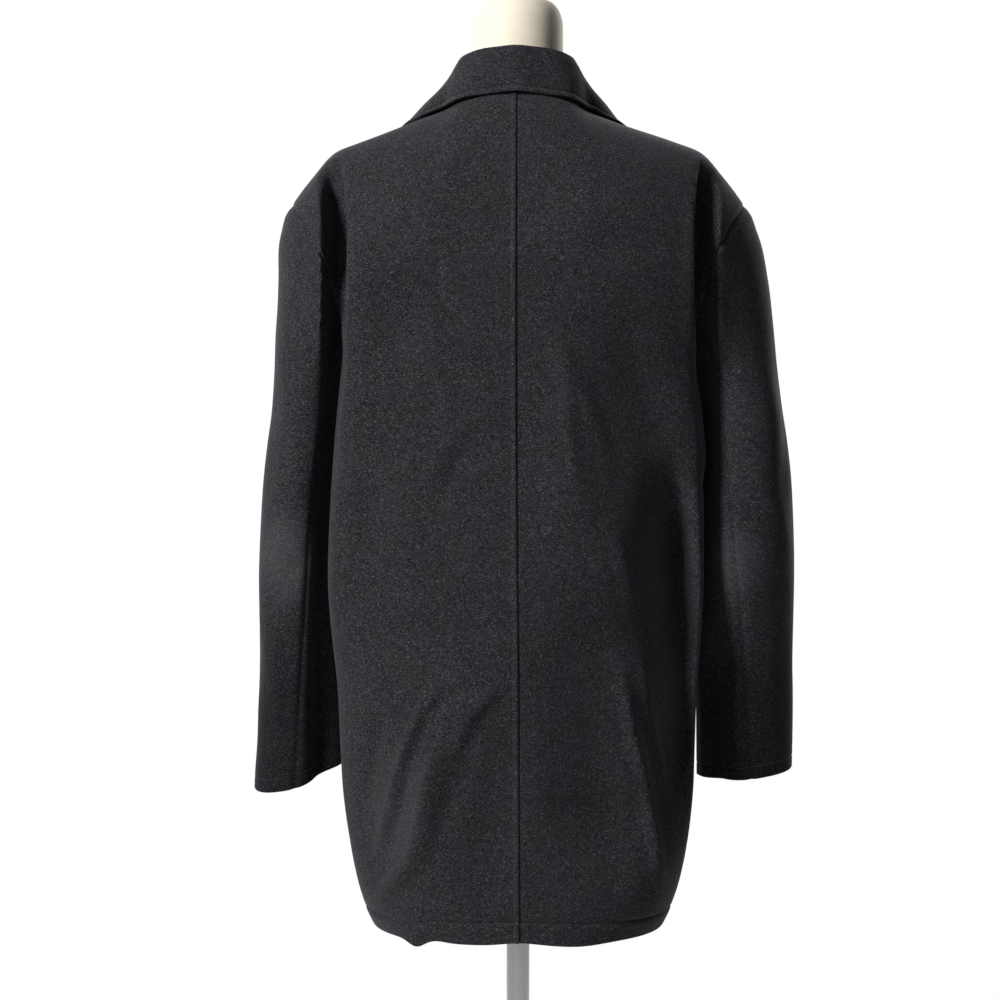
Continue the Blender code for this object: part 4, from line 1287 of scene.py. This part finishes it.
# %% [markdown]
# ## Buttons and buttonholes
#
# A coat button of 28 mm is turned from horn: a raised rim round a sunk middle with four holes. A
# Boolean could cut the holes, but it leaves slivers. Here the middle starts as five circles, and
# a fill that knows holes makes them one plate. The rim is a small rounded section that is spun.
# Thread crosses the holes in two pairs. The buttonhole is a slot bound with thread. It runs from
# the button into the front, and half of it shows.

# %% A button's plate and rim
BUTTON_R, BUTTON_HEIGHT = 0.0139, 0.0044
PLATE_R, PLATE_TOP, PLATE_LOW = 0.0108, 0.0026, 0.0006
HOLE_R, HOLE_AT = 0.00105, 0.0024  # the four holes stand in a square


def circle_edges(bm, radius, x, y, segments):
    """A circle's edges, level with the top of the plate."""
    made = bmesh.ops.create_circle(bm, radius=radius, segments=segments,
                                   matrix=Matrix.Translation((x, y, PLATE_TOP)))
    return list({edge for vert in made["verts"] for edge in vert.link_edges})


def add_plate(bm):
    """The sunk middle with its four holes."""
    edges = circle_edges(bm, PLATE_R, 0, 0, 48)
    for x in (-HOLE_AT, HOLE_AT):
        for y in (-HOLE_AT, HOLE_AT):
            edges += circle_edges(bm, HOLE_R, x, y, 14)
    filled = bmesh.ops.triangle_fill(bm, edges=edges, use_beauty=True, normal=(0, 0, 1))
    faces = [item for item in filled["geom"] if isinstance(item, bmesh.types.BMFace)]
    under = bmesh.ops.extrude_face_region(bm, geom=faces, use_keep_orig=True)
    low = [item for item in under["geom"] if isinstance(item, bmesh.types.BMVert)]
    bmesh.ops.translate(bm, verts=low, vec=(0, 0, PLATE_LOW - PLATE_TOP))


def add_rim(bm):
    """The raised rim, a rounded section of (radius, height) spun about the button's middle."""
    section = [(PLATE_R - 0.0003, PLATE_TOP), (PLATE_R + 0.0008, BUTTON_HEIGHT - 0.0004),
               (PLATE_R + 0.0016, BUTTON_HEIGHT), (BUTTON_R - 0.0006, BUTTON_HEIGHT - 0.0005),
               (BUTTON_R, BUTTON_HEIGHT - 0.0016), (BUTTON_R - 0.0003, 0.0012),
               (BUTTON_R - 0.0014, 0.0002), (PLATE_R - 0.0003, PLATE_LOW)]
    verts = [bm.verts.new((r, 0, z)) for r, z in section]
    edges = [bm.edges.new(pair) for pair in zip(verts, verts[1:] + verts[:1])]
    bmesh.ops.spin(bm, geom=verts + edges, axis=(0, 0, 1), angle=2 * math.pi, steps=56,
                   use_merge=True, use_duplicate=False)


print(f"a button is {2000 * BUTTON_R:.1f} mm across and {1000 * BUTTON_HEIGHT:.1f} mm high")

# %% The buttons and their thread
STRAND = (0.00035, HOLE_AT + 0.0008, 0.00035)  # half sizes
STRANDS_AT, STRANDS_UP = (-0.0004, 0.0, 0.0004), 0.0001


def seat_of(number):
    """Where a button sits on the left front, and the matrix that lays it flat there."""
    low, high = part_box(f"button_{number}")
    spot = (low + high) / 2
    front = coat_pieces["front_left"]
    away = np.linalg.norm(front.points - np.array(spot), axis=2)
    row, column = np.unravel_index(away.argmin(), away.shape)
    out = Vector(front.out[row, column])
    foot = spot - out * BUTTON_HEIGHT / 2
    return foot, Matrix.Translation(foot) @ out.to_track_quat("Z", "Y").to_matrix().to_4x4()


for number in (1, 2, 3):
    foot, flat = seat_of(number)
    bm = bmesh.new()
    add_plate(bm)
    add_rim(bm)
    bmesh.ops.remove_doubles(bm, verts=bm.verts, dist=0.00002)
    bmesh.ops.recalc_face_normals(bm, faces=bm.faces)
    bmesh.ops.transform(bm, matrix=flat, verts=bm.verts)
    button = in_scene(f"button_{number}_horn", bm, horn)
    placed(button, f"button_{number}")

    bm = bmesh.new()
    for side in (-1, 1):
        for beside in STRANDS_AT:
            spot = Matrix.Translation((side * HOLE_AT + beside, 0, PLATE_TOP + STRANDS_UP))
            bmesh.ops.create_icosphere(bm, subdivisions=2, radius=1.0,
                                       matrix=flat @ spot @ Matrix.Diagonal((*STRAND, 1)))
    sewn = in_scene(f"button_{number}_thread", bm, thread)
    placed(sewn)
    print(f"button {number} sits at", tuple(round(value, 4) for value in foot))

# %% The buttonholes
HOLE_FROM, HOLE_TO = 0.0150, 0.0325  # from the button's middle
BINDING, BIND_GAP, SLIT = 0.0021, 0.0007, 0.00015  # a thread, from one to the next, half the slot
BAR = 0.0030  # half of each upright thread that closes the end


def on_front(x, z):
    """A place on the left front and the way out there, from the four nearest points."""
    front = coat_pieces["front_left"]
    away = ((front.x - x) ** 2 + (front.z - z) ** 2).ravel()
    near = np.argsort(away)[:4]
    share = 1 / (away[near] + NEVER_ZERO)
    share = (share / share.sum())[:, None]
    spot, out = ((grid.reshape(-1, 3)[near] * share).sum(axis=0)
                 for grid in (front.points, front.out))
    return Vector((x, spot[1], z)), Vector(out).normalized()


for number in (1, 2, 3):
    foot = seat_of(number)[0]
    bm = bmesh.new()
    bars = np.arange(foot.x + HOLE_FROM, foot.x + HOLE_TO, BIND_GAP)
    for x in bars:
        for side in (-1, 1):
            near, out = on_front(x, foot.z + side * SLIT)
            far, _ = on_front(x, foot.z + side * (SLIT + BINDING))
            add_bead(bm, near, far, out)
    for x in (bars[-1] + BIND_GAP, bars[-1] + 2 * BIND_GAP):
        low, out = on_front(x, foot.z - BAR)
        add_bead(bm, low, on_front(x, foot.z + BAR)[0], out)
    bound = in_scene(f"buttonhole_{number}_binding", bm, thread)
    placed(bound)
    print(f"buttonhole {number}: {2 * len(bars)} bars of thread, {HOLE_TO - HOLE_FROM:.4f} m long")

# %% [markdown]
# ## The dress form and its stand
#
# The form carries the coat and is seen above the collar and between the lapels. Its body is a
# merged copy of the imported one, with its triangles joined to quads and subdivision to take the
# facets off. Its padding gives way a few millimetres under the coat's shoulder and side seams,
# whose edges are turned in. Its neck is a plain turned shape with a soft shoulder, a little
# deeper than it is wide. The stand is turned as well: a pole, and a flat base with a short hub.
# Spinning a profile is the shortest way to any turned thing, and its bevels come from a modifier.

# %% The form's body
QUADS = math.radians(40)  # how far two triangles of one quad may be out of plane or of square
BOTTOM_INSET = 0.006  # keeps the lower edge crisp when it is subdivided
PRESSED, PRESSED_FROM, PRESSED_FADE, SHOULDER_Z = 0.0046, 0.050, 0.022, 1.36
HIPS_IN, HIPS_Z, HIPS_HIGH = 0.020, 0.846, 0.090  # a share of the width

bm = merged("form_torso")
bmesh.ops.join_triangles(bm, faces=bm.faces, angle_face_threshold=QUADS,
                         angle_shape_threshold=QUADS)
bottom = min(bm.faces, key=lambda face: face.calc_center_median().z)
bmesh.ops.inset_region(bm, faces=[bottom], thickness=BOTTOM_INSET)
for vert in bm.verts:
    beside_neck = eased((abs(vert.co.x) - PRESSED_FROM) / PRESSED_FADE)
    vert.co.z -= PRESSED * float(beside_neck * eased((vert.co.z - SHOULDER_Z) / 0.05))
    vert.co.x *= 1 - float(HIPS_IN * hump(vert.co.z - HIPS_Z, HIPS_HIGH))
print("the form's body has", len(bm.faces), "faces before it is subdivided")
torso = in_scene("form_torso_cover", bm, linen)
smoother = torso.modifiers.new("smoother", "SUBSURF")
smoother.levels = smoother.render_levels = 2
placed(torso, "form_torso")


# %% Turned shapes
def spun(name, profile, finish, segments, deeper=1.0):
    """A closed shape turned about the pole's axis from its (radius, height) profile."""
    bm = bmesh.new()
    verts = [bm.verts.new((radius, 0, height)) for radius, height in profile]
    edges = [bm.edges.new(pair) for pair in zip(verts, verts[1:])]
    bmesh.ops.spin(bm, geom=verts + edges, axis=(0, 0, 1), angle=2 * math.pi, steps=segments,
                   use_merge=True, use_duplicate=False)
    bmesh.ops.remove_doubles(bm, verts=bm.verts, dist=MERGE)
    bmesh.ops.recalc_face_normals(bm, faces=bm.faces)
    bmesh.ops.scale(bm, vec=(1, deeper, 1), verts=bm.verts)
    return in_scene(name, bm, finish)


def rounded(radius_from, radius_to, low, high, count=8):
    """A quarter of an ellipse, from upright at the outside to level at the top."""
    return [(radius_to + (radius_from - radius_to) * math.cos(turn),
             low + (high - low) * math.sin(turn))
            for turn in np.linspace(0, math.pi / 2, count + 1)]


# %% The neck and its cap
NECK_RINGS, NECK_ROUND_Z, NECK_TOP_Z = (1.52, 1.55), 1.574, 1.6012
NECK_R, CAP_R = 0.0495, 0.034
NECK_DEPTH = 0.053 / NECK_R  # the neck's depth over its width
neck_low, cap_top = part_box("form_neck")[0].z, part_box("form_cap")[1].z

neck_profile = [(0, neck_low)] + [(NECK_R, height) for height in (neck_low, *NECK_RINGS)]
neck_profile += rounded(NECK_R, CAP_R, NECK_ROUND_Z, NECK_TOP_Z) + [(0, NECK_TOP_Z)]
neck = spun("form_neck_cover", neck_profile, linen, 64, NECK_DEPTH)
cap_profile = [(0, NECK_TOP_Z + 0.0002), (CAP_R - 0.004, NECK_TOP_Z + 0.0002)]
cap_profile += rounded(CAP_R - 0.003, CAP_R - 0.010, NECK_TOP_Z + 0.0015, cap_top) + [(0, cap_top)]
cap = spun("form_cap_paint", cap_profile, paint, 48, NECK_DEPTH)
print("the form's neck ends at", NECK_TOP_Z, "and its cap at", round(cap_top, 4))

# %% The pole and its base
BASE_T, HUB_R = 0.014, 0.030
PAINTED_EDGE = 0.0006
pole_low, pole_high = (corner.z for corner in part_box("stand_pole"))
pole_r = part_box("stand_pole")[1].x
pole = spun("stand_pole_paint", [(0, pole_low), (pole_r, pole_low), (pole_r, pole_high),
                                 (0, pole_high)], paint, 32)
base_r, base_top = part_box("stand_base")[1].x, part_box("stand_base")[1].z
base_profile = [(0, 0), (base_r - 0.001, 0), (base_r, 0.001)]
base_profile += rounded(base_r, base_r - 0.008, BASE_T - 0.008, BASE_T)
base_profile += [(HUB_R + 0.003, BASE_T), (HUB_R, BASE_T + 0.003)]
base_profile += rounded(HUB_R, HUB_R - 0.003, base_top - 0.003, base_top, 4) + [(0, base_top)]
base = spun("stand_base_paint", base_profile, paint, 96)

for piece, node, slot in (
        (neck, "form_neck", "cream_linen"), (cap, "form_cap", "white_paint"),
        (pole, "stand_pole", "white_paint"), (base, "stand_base", "white_paint")):
    soften(piece, PAINTED_EDGE)
    placed(piece, node)
print(f"the base is {2 * base_r:.2f} m across, and the pole {pole_high - pole_low:.3f} m long")
